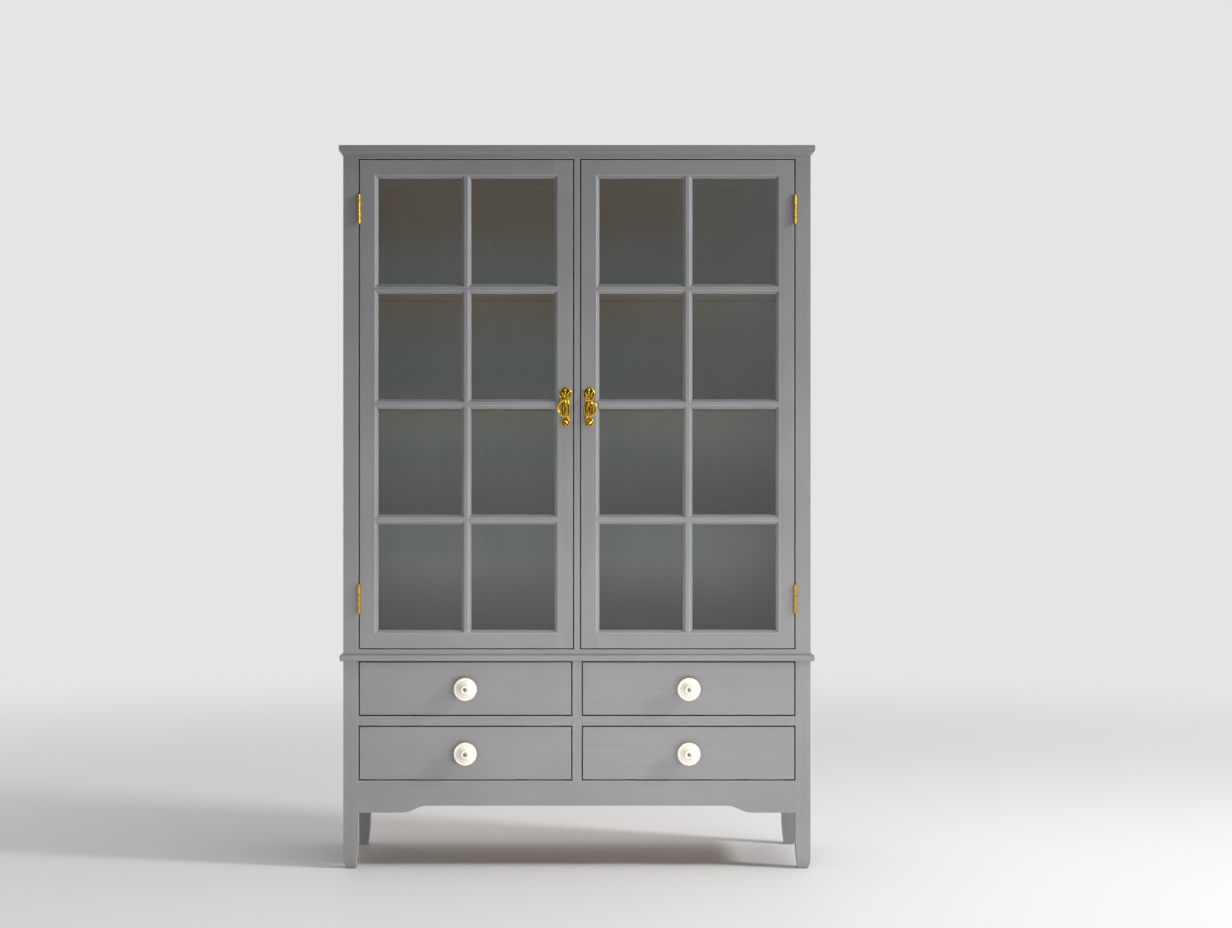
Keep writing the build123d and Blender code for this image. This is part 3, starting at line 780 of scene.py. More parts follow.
@dataclass(frozen=True)
class Steel(Finish):
    """Plain or blackened steel of screws and pegs."""

    colour: Colour = linear(194, 194, 194)
    grime: Colour = linear(22, 17, 15)
    roughness: Pair = (0.25, 0.45)
    tarnish: float = 0.55  # brightness of its dull patches against the clean metal
    patch_scale: float = 240.0
    grime_share: float = 0.95
    grime_roughness: float = 0.4
    scratch_depth: float = 0.00005

    def shade(self, graph: Graph) -> Socket:
        """Metal with tarnish and scratches.

        Args:
            graph: The material's graph.

        Returns:
            The shader.
        """
        place = graph.position()
        dull = tuple(self.tarnish * channel for channel in self.colour)
        tint = Mottle().place(graph, place, self.patch_scale, self.colour, dull)
        hollow = graph.mask("hollow")
        colour = graph.mix(graph.times(hollow, self.grime_share), tint["Color"], self.grime)
        touch = Handling().place(graph, place, *self.roughness)
        rough = graph.math(
            "MULTIPLY_ADD", hollow, self.grime_roughness, touch["Roughness"], clamp=True
        )
        normal = graph.bump(touch["Scratch"], self.scratch_depth)
        return graph.principled(colour, rough, Normal=normal, Metallic=1)


@dataclass(frozen=True)
class MouldedPlastic(Finish):
    """Fine-grained moulded plastic of the catches."""

    colour: Colour = linear(158, 128, 96)
    yellowing: Colour = (0.93, 0.88, 0.76)  # what each channel keeps in its aged patches
    patch_scale: float = 40.0
    grain_scale: float = 1600.0
    grain_edge: Pair = (0.3, 0.7)
    roughness: Pair = (0.42, 0.55)
    grain_depth: float = 0.00004

    def shade(self, graph: Graph) -> Socket:
        """Even colour over a fine moulded texture.

        Args:
            graph: The material's graph.

        Returns:
            The shader.
        """
        place = graph.position()
        aged = tuple(channel * kept for channel, kept in zip(self.colour, self.yellowing))
        tint = Mottle().place(graph, place, self.patch_scale, self.colour, aged)
        grain = graph.noise(place, self.grain_scale, 2)
        rough = graph.ramp(grain, *self.grain_edge, *self.roughness)
        return graph.principled(tint["Color"], rough, Normal=graph.bump(grain, self.grain_depth))


@dataclass(frozen=True)
class OldGlass(Finish):
    """Drawn sheet glass with a slow waviness and faint smears.

    Each pane bows out a little at its middle. The sill is the lowest pane's lower edge, and the
    pitch is the step from one pane to the next.
    """

    colour: Colour = (0.91, 0.965, 0.955)
    wave_scale: Point = (9, 9, 3.2)
    wave_depth: float = 0.0006
    smear_scale: Point = (14, 14, 6)
    smear_edge: Pair = (0.55, 0.8)
    smear_roughness: float = 0.09
    sill: float = 0.5495
    pitch: float = 0.2655
    bow: float = 0.0024
    bend: float = 1.6
    passing_colour: Colour = (0.86, 0.9, 0.885)

    def shade(self, graph: Graph) -> Socket:
        """Clear glass that lets lamps light what stands behind it.

        Args:
            graph: The material's graph.

        Returns:
            The shader.
        """
        place = graph.position()
        wave = graph.streaks(place, self.wave_scale, 2, 0.4)
        smear = graph.streaks(place, self.smear_scale, 5, 0.65)
        rough = graph.ramp(smear, *self.smear_edge, 0.0, self.smear_roughness)
        height = graph.add("SeparateXYZ", {0: place}).outputs["Z"]
        steps = graph.math("DIVIDE", graph.math("SUBTRACT", height, self.sill), self.pitch)
        off = graph.math("MULTIPLY_ADD", graph.math("FRACT", steps), 2, -1)
        crown = graph.math("SUBTRACT", 1, graph.times(off, off))
        normal = graph.bump(wave, self.wave_depth, graph.bump(crown, self.bow))
        glass = graph.principled(
            self.colour, rough, Normal=normal, IOR=self.bend, Transmission_Weight=1
        )
        clear = graph.add("BsdfTransparent", {"Color": self.passing_colour}).outputs[0]
        return graph.blend(graph.rays("Shadow", "Diffuse"), glass, clear)


GREY_PAINT = SatinPaint("grey_satin_paint", "grey_paint")
INNER_PAINT = SatinPaint(
    "grey_inner_paint", "grey_paint", linear(131, 126, 119), linear(125, 120, 113), wear=0.1
)
BARE_WOOD = BareWood("planed_softwood", "bare_wood")
BRASS = Brass("aged_brass", "brass")
HINGE_BRASS = Brass(
    "hinge_brass", "brass", linear(242, 198, 84), linear(214, 166, 60), roughness=(0.22, 0.38)
)
PORCELAIN = Porcelain("glazed_porcelain", "porcelain")
SCREW_STEEL = Steel("screw_steel", "dark_steel", linear(238, 233, 224), roughness=(0.5, 0.65))
PEG_STEEL = Steel("peg_steel", "steel")
CATCH_PLASTIC = MouldedPlastic("moulded_plastic", "catch_plastic")
GLASS = OldGlass("old_glass", "glass")


# ---------------------------------------------------------------- mesh making


def add_object(name: str, content: bpy.types.ID) -> bpy.types.Object:
    """Make an object and link it to the scene.

    Args:
        name: The object's name.
        content: Its mesh, lamp or camera.

    Returns:
        The object.
    """
    made = bpy.data.objects.new(name, content)
    bpy.context.scene.collection.objects.link(made)
    return made


def to_mesh(bm: bmesh.types.BMesh, name: str) -> bpy.types.Mesh:
    """Turn a mesh under construction into a new mesh, and free it.

    Args:
        bm: The mesh under construction.
        name: The new mesh's name.

    Returns:
        The new mesh.
    """
    mesh = bpy.data.meshes.new(name)
    bm.to_mesh(mesh)
    bm.free()
    return mesh


def turn(steps: int) -> list[float]:
    """Even angles round a full turn."""
    return [math.tau * step / steps for step in range(steps)]


def swell(offset: float, width: float) -> float:
    """A smooth rise of height 1 that is gone at a width's distance."""
    return 0.5 + 0.5 * math.cos(math.pi * offset / width) if abs(offset) < width else 0.0


def ease(value: float, low: float, high: float) -> float:
    """Go from 0 at low to 1 at high, smoothly."""
    share = min(max((value - low) / (high - low), 0.0), 1.0)
    return share * share * (3 - 2 * share)


def rounded(points: Sequence[Pair], rounds: int) -> list[Pair]:
    """Cut the corners of an open line again and again, keeping its ends.

    Args:
        points: Corners of the line.
        rounds: How often every corner is cut.

    Returns:
        A smooth line of more points.
    """
    line = list(points)
    for _ in range(rounds):
        cut = [line[0]]
        for (ax, ay), (bx, by) in zip(line, line[1:]):
            for first, second in ((0.75, 0.25), (0.25, 0.75)):
                cut.append((first * ax + second * bx, first * ay + second * by))
        cut.append(line[-1])
        line = cut
    return line


class Shape:
    """A mesh under construction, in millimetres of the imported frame."""

    def __init__(self) -> None:
        """Start with no faces."""
        self.bm = bmesh.new()
        self.hollow = self.bm.verts.layers.float.new("hollow")

    def loft(
        self,
        rows: Sequence[Row],
        wrap_rows: bool = False,
        wrap_points: bool = False,
        hollows: Sequence[Sequence[float]] | None = None,
    ) -> None:
        """Join equal rows of points by four-sided faces.

        Args:
            rows: Rows of points, all of one length.
            wrap_rows: Join the last row to the first.
            wrap_points: Join each row's last point to its first.
            hollows: How hollow the surface is at each point, 0 to 1.
        """
        made = [[self.bm.verts.new(point * MM) for point in row] for row in rows]
        for line, values in zip(made, hollows or ()):
            for vertex, value in zip(line, values):
                vertex[self.hollow] = value
        row_count, point_count = len(rows), len(rows[0])
        for i in range(row_count if wrap_rows else row_count - 1):
            first, second = made[i], made[(i + 1) % row_count]
            for j in range(point_count if wrap_points else point_count - 1):
                k = (j + 1) % point_count
                self.bm.faces.new((first[j], first[k], second[k], second[j]))

    def backed(self, rows: Sequence[Row], hollows: Sequence[Sequence[float]]) -> None:
        """Join rows of points, and their ends by a back."""
        self.loft(rows, hollows=hollows)
        self.loft([[row[0], row[-1]] for row in rows])

    def capped(self, rows: Sequence[Row], start: Vector, end: Vector) -> None:
        """Join closed rows of points, drawn together to a point at each end."""
        count = len(rows[0])
        self.loft([[start] * count, *rows, [end] * count], wrap_points=True)

    def lathe(
        self,
        profile: Sequence[Pair],
        origin: Vector,
        axis: Vector,
        steps: int,
        hollows: Sequence[float] | None = None,
    ) -> None:
        """Turn a profile round an axis.

        Args:
            profile: Pairs of reach along the axis and radius.
            origin: Where the reach is 0.
            axis: Direction of the axis.
            steps: Faces round a full turn.
            hollows: How hollow the profile is at each point.
        """
        unit = axis.normalized()
        across = unit.orthogonal().normalized()
        other = unit.cross(across)
        rows = []
        for angle in turn(steps):
            out = across * math.cos(angle) + other * math.sin(angle)
            rows.append([origin + unit * reach + out * radius for reach, radius in profile])
        self.loft(rows, wrap_rows=True, hollows=[hollows] * steps if hollows else None)

    def rod(self, span: Pair, radius: float, origin: Vector, axis: Vector, steps: int) -> None:
        """Add a plain round rod.

        Args:
            span: Where along the axis it starts and ends.
            radius: Its radius.
            origin: Where the axis starts.
            axis: Direction of the axis.
            steps: Faces round a full turn.
        """
        low, high = span
        self.lathe([(low, 0), (low, radius), (high, radius), (high, 0)], origin, axis, steps)

    def tube(self, path: Sequence[Vector], radii: Sequence[float], steps: int) -> None:
        """Sweep a round section along a path, with closed ends.

        Args:
            path: Points of the centre line, all at one depth.
            radii: Radius at each point.
            steps: Faces round the section.
        """
        rows = []
        depth = Vector((0, 1, 0))
        for index, (point, radius) in enumerate(zip(path, radii)):
            before, after = path[max(index - 1, 0)], path[min(index + 1, len(path) - 1)]
            tangent = (after - before).normalized()
            across = tangent.cross(depth).normalized()
            other = across.cross(tangent)
            rows.append(
                [
                    point + across * math.cos(angle) * radius + other * math.sin(angle) * radius
                    for angle in turn(steps)
                ]
            )
        self.capped(rows, path[0], path[-1])

    def mirrored(self) -> None:
        """Turn a left-hand shape into its right-hand twin."""
        bmesh.ops.scale(self.bm, vec=(-1, 1, 1), verts=self.bm.verts)

    def finish(self, name: str) -> bpy.types.Object:
        """Close the shape and make its object, with grain coordinates equal to its place.

        Args:
            name: The piece's name.

        Returns:
            The new object, linked to the scene.
        """
        bmesh.ops.remove_doubles(self.bm, verts=self.bm.verts, dist=WELD)
        bmesh.ops.dissolve_degenerate(self.bm, dist=SLIVER, edges=self.bm.edges)
        bmesh.ops.recalc_face_normals(self.bm, faces=self.bm.faces)
        for face in self.bm.faces:
            face.smooth = True
        mesh = to_mesh(self.bm, name)
        mesh.set_sharp_from_angle(angle=math.radians(SHARP))
        grain = mesh.attributes.new("grain", "FLOAT_VECTOR", "POINT")
        for entry, vertex in zip(grain.data, mesh.vertices):
            entry.vector = vertex.co
        return add_object(name, mesh)


def dress(piece: bpy.types.Object, finish: Finish) -> None:
    """Give a piece its finish, and the record's slot of that finish.

    Args:
        piece: The piece's object.
        finish: The finish.
    """
    piece.data.materials.clear()
    piece.data.materials.append(finish.material())


def settle(piece: bpy.types.Object, finish: Finish, body: str, *nodes: str) -> None:
    """Dress a piece, seat it on its body and say which nodes it stands for.

    Args:
        piece: The piece's object.
        finish: Its finish.
        body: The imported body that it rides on.
        nodes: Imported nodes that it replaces.
    """
    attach(piece, body)
    dress(piece, finish)
    if nodes:
        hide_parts(*nodes)
    LOG.info("%s rides on %s", piece.name, body)


def stand_in(piece: bpy.types.Object, finish: Finish, node: str) -> None:
    """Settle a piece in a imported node's place, on that node's body."""
    settle(piece, finish, frame["nodes"][node]["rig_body"], node)


@dataclass
class Solid:
    """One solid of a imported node, with what is needed to find its neighbours."""

    points: list[Vector]
    faces: list[tuple[int, ...]]
    tree: BVHTree = field(init=False)
    low: Vector = field(init=False)
    high: Vector = field(init=False)

    def __post_init__(self) -> None:
        """Measure the solid."""
        self.tree = BVHTree.FromPolygons(self.points, self.faces)
        self.low = Vector(map(min, *self.points))
        self.high = Vector(map(max, *self.points))

    def beside(self, point: Vector, reach: float) -> bool:
        """Tell whether a point lies near the solid.

        Args:
            point: The point.
            reach: How far off still counts, in metres.

        Returns:
            True where it does.
        """
        for value, low, high in zip(point, self.low, self.high):
            if not low - reach <= value <= high + reach:
                return False
        return self.tree.find_nearest(point, reach)[0] is not None

    @property
    def run(self) -> int:
        """The axis of the longest side, which the grain follows."""
        spans = list(self.high - self.low)
        return spans.index(max(spans))


@dataclass
class Joinery:
    """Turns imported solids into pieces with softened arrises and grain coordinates.

    Attributes:
        contact: How near another solid makes an edge part of a joint.
        probes: Where along an edge its neighbours are looked for, as shares of its length.
        neighbour: How far round a solid its neighbours' boxes are looked for.
        joint_arris: Width of the arris at a joint.
        sharp: Smallest angle between faces that counts as an edge, in degrees.
        shortest: Edges under this many arris widths are left alone.
        level: Faces that lean less than this many degrees from each other become one.
        crease: Edges above this many degrees stay sharp once the arrises are cut.
        flat: Faces that lean less than this many degrees from each other are shaded as one curve.
        parallel: Cosine above which faces count as one flat wall.
        grain_shift: How far each board's grain is set apart from the next, in metres.
        salts: How many different starts a node's grain can have.
    """

    contact: float = 0.25
    probes: tuple[float, ...] = (0.12, 0.5, 0.88)
    neighbour: float = 2.0
    joint_arris: float = 0.22
    sharp: float = 30.0
    shortest: float = 2.6
    steps: int = 3
    level: float = 0.6
    crease: float = 40.0
    flat: float = 35.0
    parallel: float = 0.999
    grain_shift: Point = (0.37, 0.61, 0.83)
    salts: int = 17
    solids: dict[str, list[Solid]] = field(default_factory=dict)

    def survey(self) -> None:
        """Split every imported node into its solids."""
        for name, node in frame["nodes"].items():
            bm = bmesh.new()
            bm.from_mesh(node.data)
            bmesh.ops.remove_doubles(bm, verts=bm.verts, dist=WELD)
            self.part_touching(bm)
            self.solids[name] = [self.collect(group) for group in self.groups(bm)]
            bm.free()

    def part_touching(self, bm: bmesh.types.BMesh) -> None:
        """Part solids that share a wall: cut round the wall, drop it and close each again.

        Args:
            bm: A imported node's mesh, changed in place.
        """
        rims = [edge for edge in bm.edges if len(edge.link_faces) > 2]
        bmesh.ops.split_edges(bm, edges=rims)
        for group in self.groups(bm):
            faces = list({face for vertex in group for face in vertex.link_faces})
            if all(abs(face.normal.dot(faces[0].normal)) > self.parallel for face in faces):
                bmesh.ops.delete(bm, geom=faces, context="FACES")
        bmesh.ops.holes_fill(bm, edges=[edge for edge in bm.edges if edge.is_boundary], sides=0)

    @staticmethod
    def groups(bm: bmesh.types.BMesh) -> list[list[bmesh.types.BMVert]]:
        """Find the connected parts of a mesh.

        Args:
            bm: The mesh.

        Returns:
            The vertices of each part.
        """
        bm.verts.ensure_lookup_table()
        bm.verts.index_update()
        seen: set[int] = set()
        found = []
        for start in bm.verts:
            if start.index in seen:
                continue
            seen.add(start.index)
            group, queue = [], [start]
            while queue:
                vertex = queue.pop()
                group.append(vertex)
                for edge in vertex.link_edges:
                    other = edge.other_vert(vertex)
                    if other.index not in seen:
                        seen.add(other.index)
                        queue.append(other)
            found.append(group)
        return found

    @staticmethod
    def collect(group: list[bmesh.types.BMVert]) -> Solid:
        """Copy one connected part out of a mesh.

        Args:
            group: The part's vertices.

        Returns:
            The solid.
        """
        order = {vertex: place for place, vertex in enumerate(group)}
        faces = {face for vertex in group for face in vertex.link_faces}
        ordered = sorted(faces, key=lambda face: face.index)
        corners = [tuple(order[vertex] for vertex in face.verts) for face in ordered]
        return Solid([vertex.co.copy() for vertex in group], corners)

    def is_joint(self, edge: bmesh.types.BMEdge, near: Iterable[Solid]) -> bool:
        """Tell whether most of an edge lies against another solid.

        Args:
            edge: The edge.
            near: The solid's neighbours.

        Returns:
            True where it does.
        """
        first, second = (vertex.co for vertex in edge.verts)
        hits = 0
        for share in self.probes:
            point = first.lerp(second, share)
            hits += any(solid.beside(point, self.contact * MM) for solid in near)
        return hits > len(self.probes) / 2

    def soften(self, solid: Solid, near: list[Solid], arris: float, salt: int) -> bpy.types.Mesh:
        """Make one solid's mesh with softened arrises.

        Args:
            solid: The solid.
            near: Its neighbours.
            arris: Width of a free arris.
            salt: Number that sets this board's grain apart from the others'.

        Returns:
            A new mesh.
        """
        bm = bmesh.new()
        verts = [bm.verts.new(point) for point in solid.points]
        for face in solid.faces:
            bm.faces.new([verts[corner] for corner in face])
        bmesh.ops.recalc_face_normals(bm, faces=bm.faces)
        level = math.radians(self.level)
        bmesh.ops.dissolve_limit(bm, angle_limit=level, verts=bm.verts, edges=bm.edges)
        weight = bm.edges.layers.float.new("bevel_weight_edge")
        sharp = math.radians(self.sharp)
        for edge in bm.edges:
            if len(edge.link_faces) != 2 or edge.calc_face_angle_signed(0) < sharp:
                continue
            width = min(self.joint_arris, arris) if self.is_joint(edge, near) else arris
            if edge.calc_length() > self.shortest * width * MM:
                edge[weight] = width / arris
        cut = self.cut_arrises(to_mesh(bm, "board"), arris)
        bm = bmesh.new()
        bm.from_mesh(cut)
        mark = bm.loops.layers.float.new("arris")
        for face in bm.faces:
            for loop in face.loops:
                loop[mark] = float(face.material_index)
            face.material_index = 0
        self.lay_grain(bm, solid.run, salt)
        bm.to_mesh(cut)
        bm.free()
        return cut

    def cut_arrises(self, mesh: bpy.types.Mesh, arris: float) -> bpy.types.Mesh:
        """Run a Bevel modifier over the weighted edges.

        Args:
            mesh: The board's mesh, which is used up.
            arris: Width of a free arris.

        Returns:
            A new mesh, whose arrises have material number 1.
        """
        for _ in range(2):
            mesh.materials.append(None)
        bench = add_object("bench", mesh)
        tool = bench.modifiers.new("arris", "BEVEL")
        tool.limit_method, tool.segments, tool.width = "WEIGHT", self.steps, arris * MM
        tool.use_clamp_overlap = False
        tool.material = 1
        graph = bpy.context.evaluated_depsgraph_get()
        cut = bpy.data.meshes.new_from_object(bench.evaluated_get(graph))
        bpy.data.objects.remove(bench)
        bpy.data.meshes.remove(mesh)
        return cut

    def lay_grain(self, bm: bmesh.types.BMesh, run: int, salt: int) -> None:
        """Write coordinates with x along the board, set apart for each board.

        Args:
            bm: The board's mesh.
            run: The axis that its grain follows.
            salt: The board's own number.
        """
        layer = bm.verts.layers.float_vector.new("grain")
        shift = Vector(self.grain_shift) * (1 + salt * 1.7)
        for vertex in bm.verts:
            turned = [vertex.co[(run + axis) % 3] for axis in range(3)]
            vertex[layer] = Vector(turned) + shift

    def neighbours(self, solid: Solid) -> list[Solid]:
        """Find the solids whose boxes come near a solid's box.

        Args:
            solid: The solid.

        Returns:
            Its neighbours.
        """
        margin = Vector((self.neighbour,) * 3) * MM
        low, high = solid.low - margin, solid.high + margin
        return [
            other
            for group in self.solids.values()
            for other in group
            if other is not solid
            and all(other.low[i] <= high[i] and other.high[i] >= low[i] for i in range(3))
        ]

    def dress(self, nodes: Iterable[str], finish: Finish, arris: float) -> None:
        """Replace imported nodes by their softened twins.

        Args:
            nodes: The nodes' names.
            finish: Their finish.
            arris: Width of a free arris.
        """
        for node in nodes:
            self.replace(node, finish, arris)

    def replace(self, node: str, finish: Finish, arris: float) -> None:
        """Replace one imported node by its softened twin.

        Args:
            node: The node's name.
            finish: Its finish.
            arris: Width of a free arris.
        """
        whole = bmesh.new()
        salt = sum(ord(letter) for letter in node) % self.salts
        for index, solid in enumerate(self.solids[node]):
            mesh = self.soften(solid, self.neighbours(solid), arris, salt + index)
            whole.from_mesh(mesh)
            bpy.data.meshes.remove(mesh)
        for face in whole.faces:
            face.smooth = True
        name = f"{node}_dressed"
        mesh = to_mesh(whole, name)
        mesh.set_sharp_from_angle(angle=math.radians(self.crease))
        self.level_faces(mesh)
        stand_in(add_object(name, mesh), finish, node)

    def level_faces(self, mesh: bpy.types.Mesh) -> None:
        """Shade broad faces flat and arrises round, by the largest broad face at each corner.

        Args:
            mesh: The piece's mesh.
        """
        arris = mesh.attributes["arris"].data
        home = [face for face in mesh.polygons for _ in face.loop_indices]
        leeway = math.cos(math.radians(self.flat))
        normals = [Vector()] * len(home)
        for fan in self.fans(mesh):
            broad = [corner for corner in fan if arris[corner].value < 0.5] or fan
            lead = max((home[corner] for corner in broad), key=lambda face: face.area).normal
            faces = [home[corner] for corner in broad if home[corner].normal.dot(lead) > leeway]
            mean = sum((face.normal * face.area for face in faces), Vector()).normalized()
            for corner in fan:
                normals[corner] = mean
        mesh.normals_split_custom_set(normals)

    @staticmethod
    def fans(mesh: bpy.types.Mesh) -> list[list[int]]:
        """Group the corners that share a vertex with no sharp edge between them.

        Args:
            mesh: The mesh.

        Returns:
            The groups, as numbers of corners.
        """
        leader = list(range(len(mesh.loops)))

        def find(corner: int) -> int:
            """Follow a corner to the one that stands for its group.

            Args:
                corner: The corner.

            Returns:
                The one that stands for the group.
            """
            while leader[corner] != corner:
                leader[corner] = leader[leader[corner]]
                corner = leader[corner]
            return corner

        sides: dict[int, list[tuple[int, int]]] = {}
        for face in mesh.polygons:
            loops = list(face.loop_indices)
            for here, after in zip(loops, loops[1:] + loops[:1]):
                sides.setdefault(mesh.loops[here].edge_index, []).append((here, after))
        for edge, pair in sides.items():
            if len(pair) == 2 and not mesh.edges[edge].use_edge_sharp:
                (first, second), (third, fourth) = pair
                leader[find(first)] = find(fourth)
                leader[find(second)] = find(third)
        found: dict[int, list[int]] = {}
        for corner in range(len(leader)):
            found.setdefault(find(corner), []).append(corner)
        return list(found.values())


JOINERY = Joinery()


# ---------------------------------------------------------------- sub-assemblies


class SubAssembly(ABC):
    """A part of the cabinet that builds and dresses its own pieces."""

    @abstractmethod
    def build(self) -> None:
        """Make every piece of this part."""


@dataclass
class Base(SubAssembly):
    """Legs, panels, apron, rails and runners under the waist board.

    Attributes:
        leg_arris: Rounding along the legs.
        board_arris: Rounding along the other painted boards.
        hidden_arris: Rounding of the bare boards inside and behind.
    """

    leg_arris: float = 1.2
    board_arris: float = 0.8
    hidden_arris: float = 0.5

    def build(self) -> None:
        """Dress the legs, the painted boards and the bare ones."""
        legs = [f"{side.word}_{place}_leg" for side in Side for place in ("front", "rear")]
        painted = ("front_apron", "drawer_rails", "centre_post", "base_sides")
        bare = ("base_back", "drawer_partition", "drawer_runners", "drawer_stops")
        JOINERY.dress(legs, GREY_PAINT, self.leg_arris)
        JOINERY.dress(painted, GREY_PAINT, self.board_arris)
        JOINERY.dress(bare, BARE_WOOD, self.hidden_arris)


@dataclass
class UpperCase(SubAssembly):
    """The glazed case above the waist board.

    Attributes:
        board_arris: Rounding along the frame and shelves.
        moulding_arris: Rounding of the small steps of the mouldings.
        catch_arris: Rounding of the catch blocks.
    """

    board_arris: float = 0.8
    moulding_arris: float = 0.3
    catch_arris: float = 1.2

    def build(self) -> None:
        """Dress the case, its mouldings, shelves and fittings."""
        frames = ("case_sides", "face_frame", "centre_mullion")
        mouldings = ("waist_board", "top_board", "crown_moulding")
        inside = ["case_floor", "case_back_frame", "case_back_panel"]
        inside += [f"{level}_shelf" for level in ("upper", "middle", "lower")]
        JOINERY.dress(frames, GREY_PAINT, self.board_arris)
        JOINERY.dress(mouldings, GREY_PAINT, self.moulding_arris)
        JOINERY.dress(inside, INNER_PAINT, self.board_arris)
        JOINERY.dress(["shelf_pegs"], PEG_STEEL, self.moulding_arris)
        JOINERY.dress(["door_catches"], CATCH_PLASTIC, self.catch_arris)


@dataclass
class DoorStops(SubAssembly):
    """Slim painted beads behind the gaps round the doors, fixed to the back of the face frame.

    Attributes:
        front_y: Where their front lies, just clear of the doors.
        depth: How deep they are.
        round_over: Rounding of their arrises.
        low_z: Top of the case's floor.
        high_z: Top of the face frame's opening.
        above: How far they reach over that opening.
        below: How far the level ones reach under its top.
        middle: Half the width of the middle one.
        gap_x: Middle of the gap on the hinge side.
        inside: How far the outer ones reach in from that gap.
        outside: How far they reach out from it.
        catch: Span of each door catch from the cabinet's middle.
    """

    front_y: float = -149.7
    depth: float = 10.0
    round_over: float = 1.0
    low_z: float = 520.1
    high_z: float = 1634.0
    above: float = 10.0
    below: float = 8.0
    middle: float = 13.0
    gap_x: float = 501.5
    inside: float = 6.0
    outside: float = 10.0
    catch: Pair = (31.5, 58.5)

    def build(self) -> None:
        """Make one piece of all the beads."""
        shape = Shape()
        top = self.high_z + self.above
        upright, level = (self.low_z, top), (self.high_z - self.below, top)
        edge = self.gap_x - self.inside
        self.bead(shape, (-self.middle, self.middle), upright)
        for side in Side:
            self.bead(shape, (side.value * edge, side.value * (self.gap_x + self.outside)), upright)
            for start, end in ((self.middle, self.catch[0]), (self.catch[1], edge)):
                self.bead(shape, (side.value * start, side.value * end), level)
        settle(shape.finish("door_stop_beads"), INNER_PAINT, "case")

    def bead(self, shape: Shape, span: Pair, heights: Pair) -> None:
        """Add one rounded bead.

        Args:
            shape: The shape that takes it.
            span: Its two sides.
            heights: Its lowest and highest point.
        """
        low_x, high_x = sorted(span)
        low_z, high_z = heights
        middle = Vector(((low_x + high_x) / 2, 0, (low_z + high_z) / 2))
        r, bevel, back = self.round_over, 0.3 * self.round_over, self.depth
        section = ((r, 0), (bevel, bevel), (0, r), (0, back - r), (bevel, back - bevel), (r, back))
        rows = []
        for inset, reach in section:
            x, z = (high_x - low_x) / 2 - inset, (high_z - low_z) / 2 - inset
            corners = ((-x, -z), (x, -z), (x, z), (-x, z))
            rows.append([middle + Vector((u, self.front_y + reach, v)) for u, v in corners])
        start, end = (sum(row, Vector()) / len(row) for row in (rows[0], rows[-1]))
        shape.capped(rows, start, end)


@dataclass
class GlazedDoor(SubAssembly):
    """One door: frame, glazing bars, glass and beads.

    Attributes:
        side: Which door it is.
        frame_arris: Rounding along the stiles and rails.
        bar_arris: Rounding along the glazing bars and beads.
    """

    side: Side
    frame_arris: float = 0.9
    bar_arris: float = 0.7

    def build(self) -> None:
        """Dress the woodwork and the glass."""
        word = self.side.word
        framing = (f"{word}_door_stiles", f"{word}_door_rails")
        glazing = (f"{word}_glazing_bars", f"{word}_glazing_beads")
        JOINERY.dress(framing, GREY_PAINT, self.frame_arris)
        JOINERY.dress(glazing, GREY_PAINT, self.bar_arris)
        panes = frame["nodes"][f"{word}_glass_panes"]
        dress(panes, GLASS)
        LOG.info("%s keeps its packed shape", panes.name)


@dataclass
class Hinges(SubAssembly):
    """Butt hinges of both doors.

    Attributes:
        arris: Rounding of leaves and knuckles.
    """

    arris: float = 0.25

    def build(self) -> None:
        """Dress the leaves and pins."""
        doors = [f"{side.word}_door_hinge_leaves" for side in Side]
        JOINERY.dress(["case_hinge_leaves", "hinge_pins", *doors], HINGE_BRASS, self.arris)


@dataclass(frozen=True)
class SlottedHead:
    """Domed screw head with one slot, facing the viewer.

    The dome's edge stands at the brim, a share of its rise, and its side reaches below the seat
    by the skirt. The bands of faces crowd towards the slot.
    """

    radius: float
    rise: float
    slot: float
    depth: float
    skirt: float = 0.6
    brim: float = 0.45
    bands: int = 9
    crowding: float = 0.9
    steps: int = 12

    def add(self, shape: Shape, centre: Vector, angle: float) -> None:
        """Add the head to a shape.

        Args:
            shape: The shape that takes it.
            centre: Middle of the seat.
            angle: Turn of the slot from level, in degrees.
        """
        along = Vector((math.cos(math.radians(angle)), 0, math.sin(math.radians(angle))))
        across = Vector((-along.z, 0, along.x))
        below = Vector((0, self.skirt, 0))
        edge = self.slot / 2
        bows = [1 - math.cos(QUARTER * band / self.bands) for band in range(self.bands)]
        outer = [edge + (self.radius - edge) * bow**self.crowding for bow in bows]
        outer.append(self.radius)
        levels = [(-offset, 0.0) for offset in reversed(outer)]
        levels += [(-edge, self.depth), (edge, self.depth)]
        levels += [(offset, 0.0) for offset in outer]
        rows, hollows = [], []
        for offset, sunk in levels:
            half = math.sqrt(max(self.radius**2 - offset**2, 0))
            row = [centre - along * half + across * offset + below]
            for step in range(-self.steps, self.steps + 1):
                reach = half * math.sin(QUARTER * step / self.steps)
                share = min((reach * reach + offset * offset) / self.radius**2, 1)
                dome = self.brim + (1 - self.brim) * math.sqrt(1 - share)
                height = Vector((0, self.rise * dome - sunk, 0))
                row.append(centre + along * reach + across * offset - height)
            row.append(centre + along * half + across * offset + below)
            rows.append(row)
            hollows.append([min(sunk, 1.0)] * len(row))
        shape.backed(rows, hollows)


@dataclass(frozen=True)
class Ridge:
    """A smooth rise, or a groove where its rise is below 0."""

    place: float
    rise: float
    width: float

    def at(self, value: float) -> float:
        """Its height at a place."""
        return self.rise * swell(value - self.place, self.width)


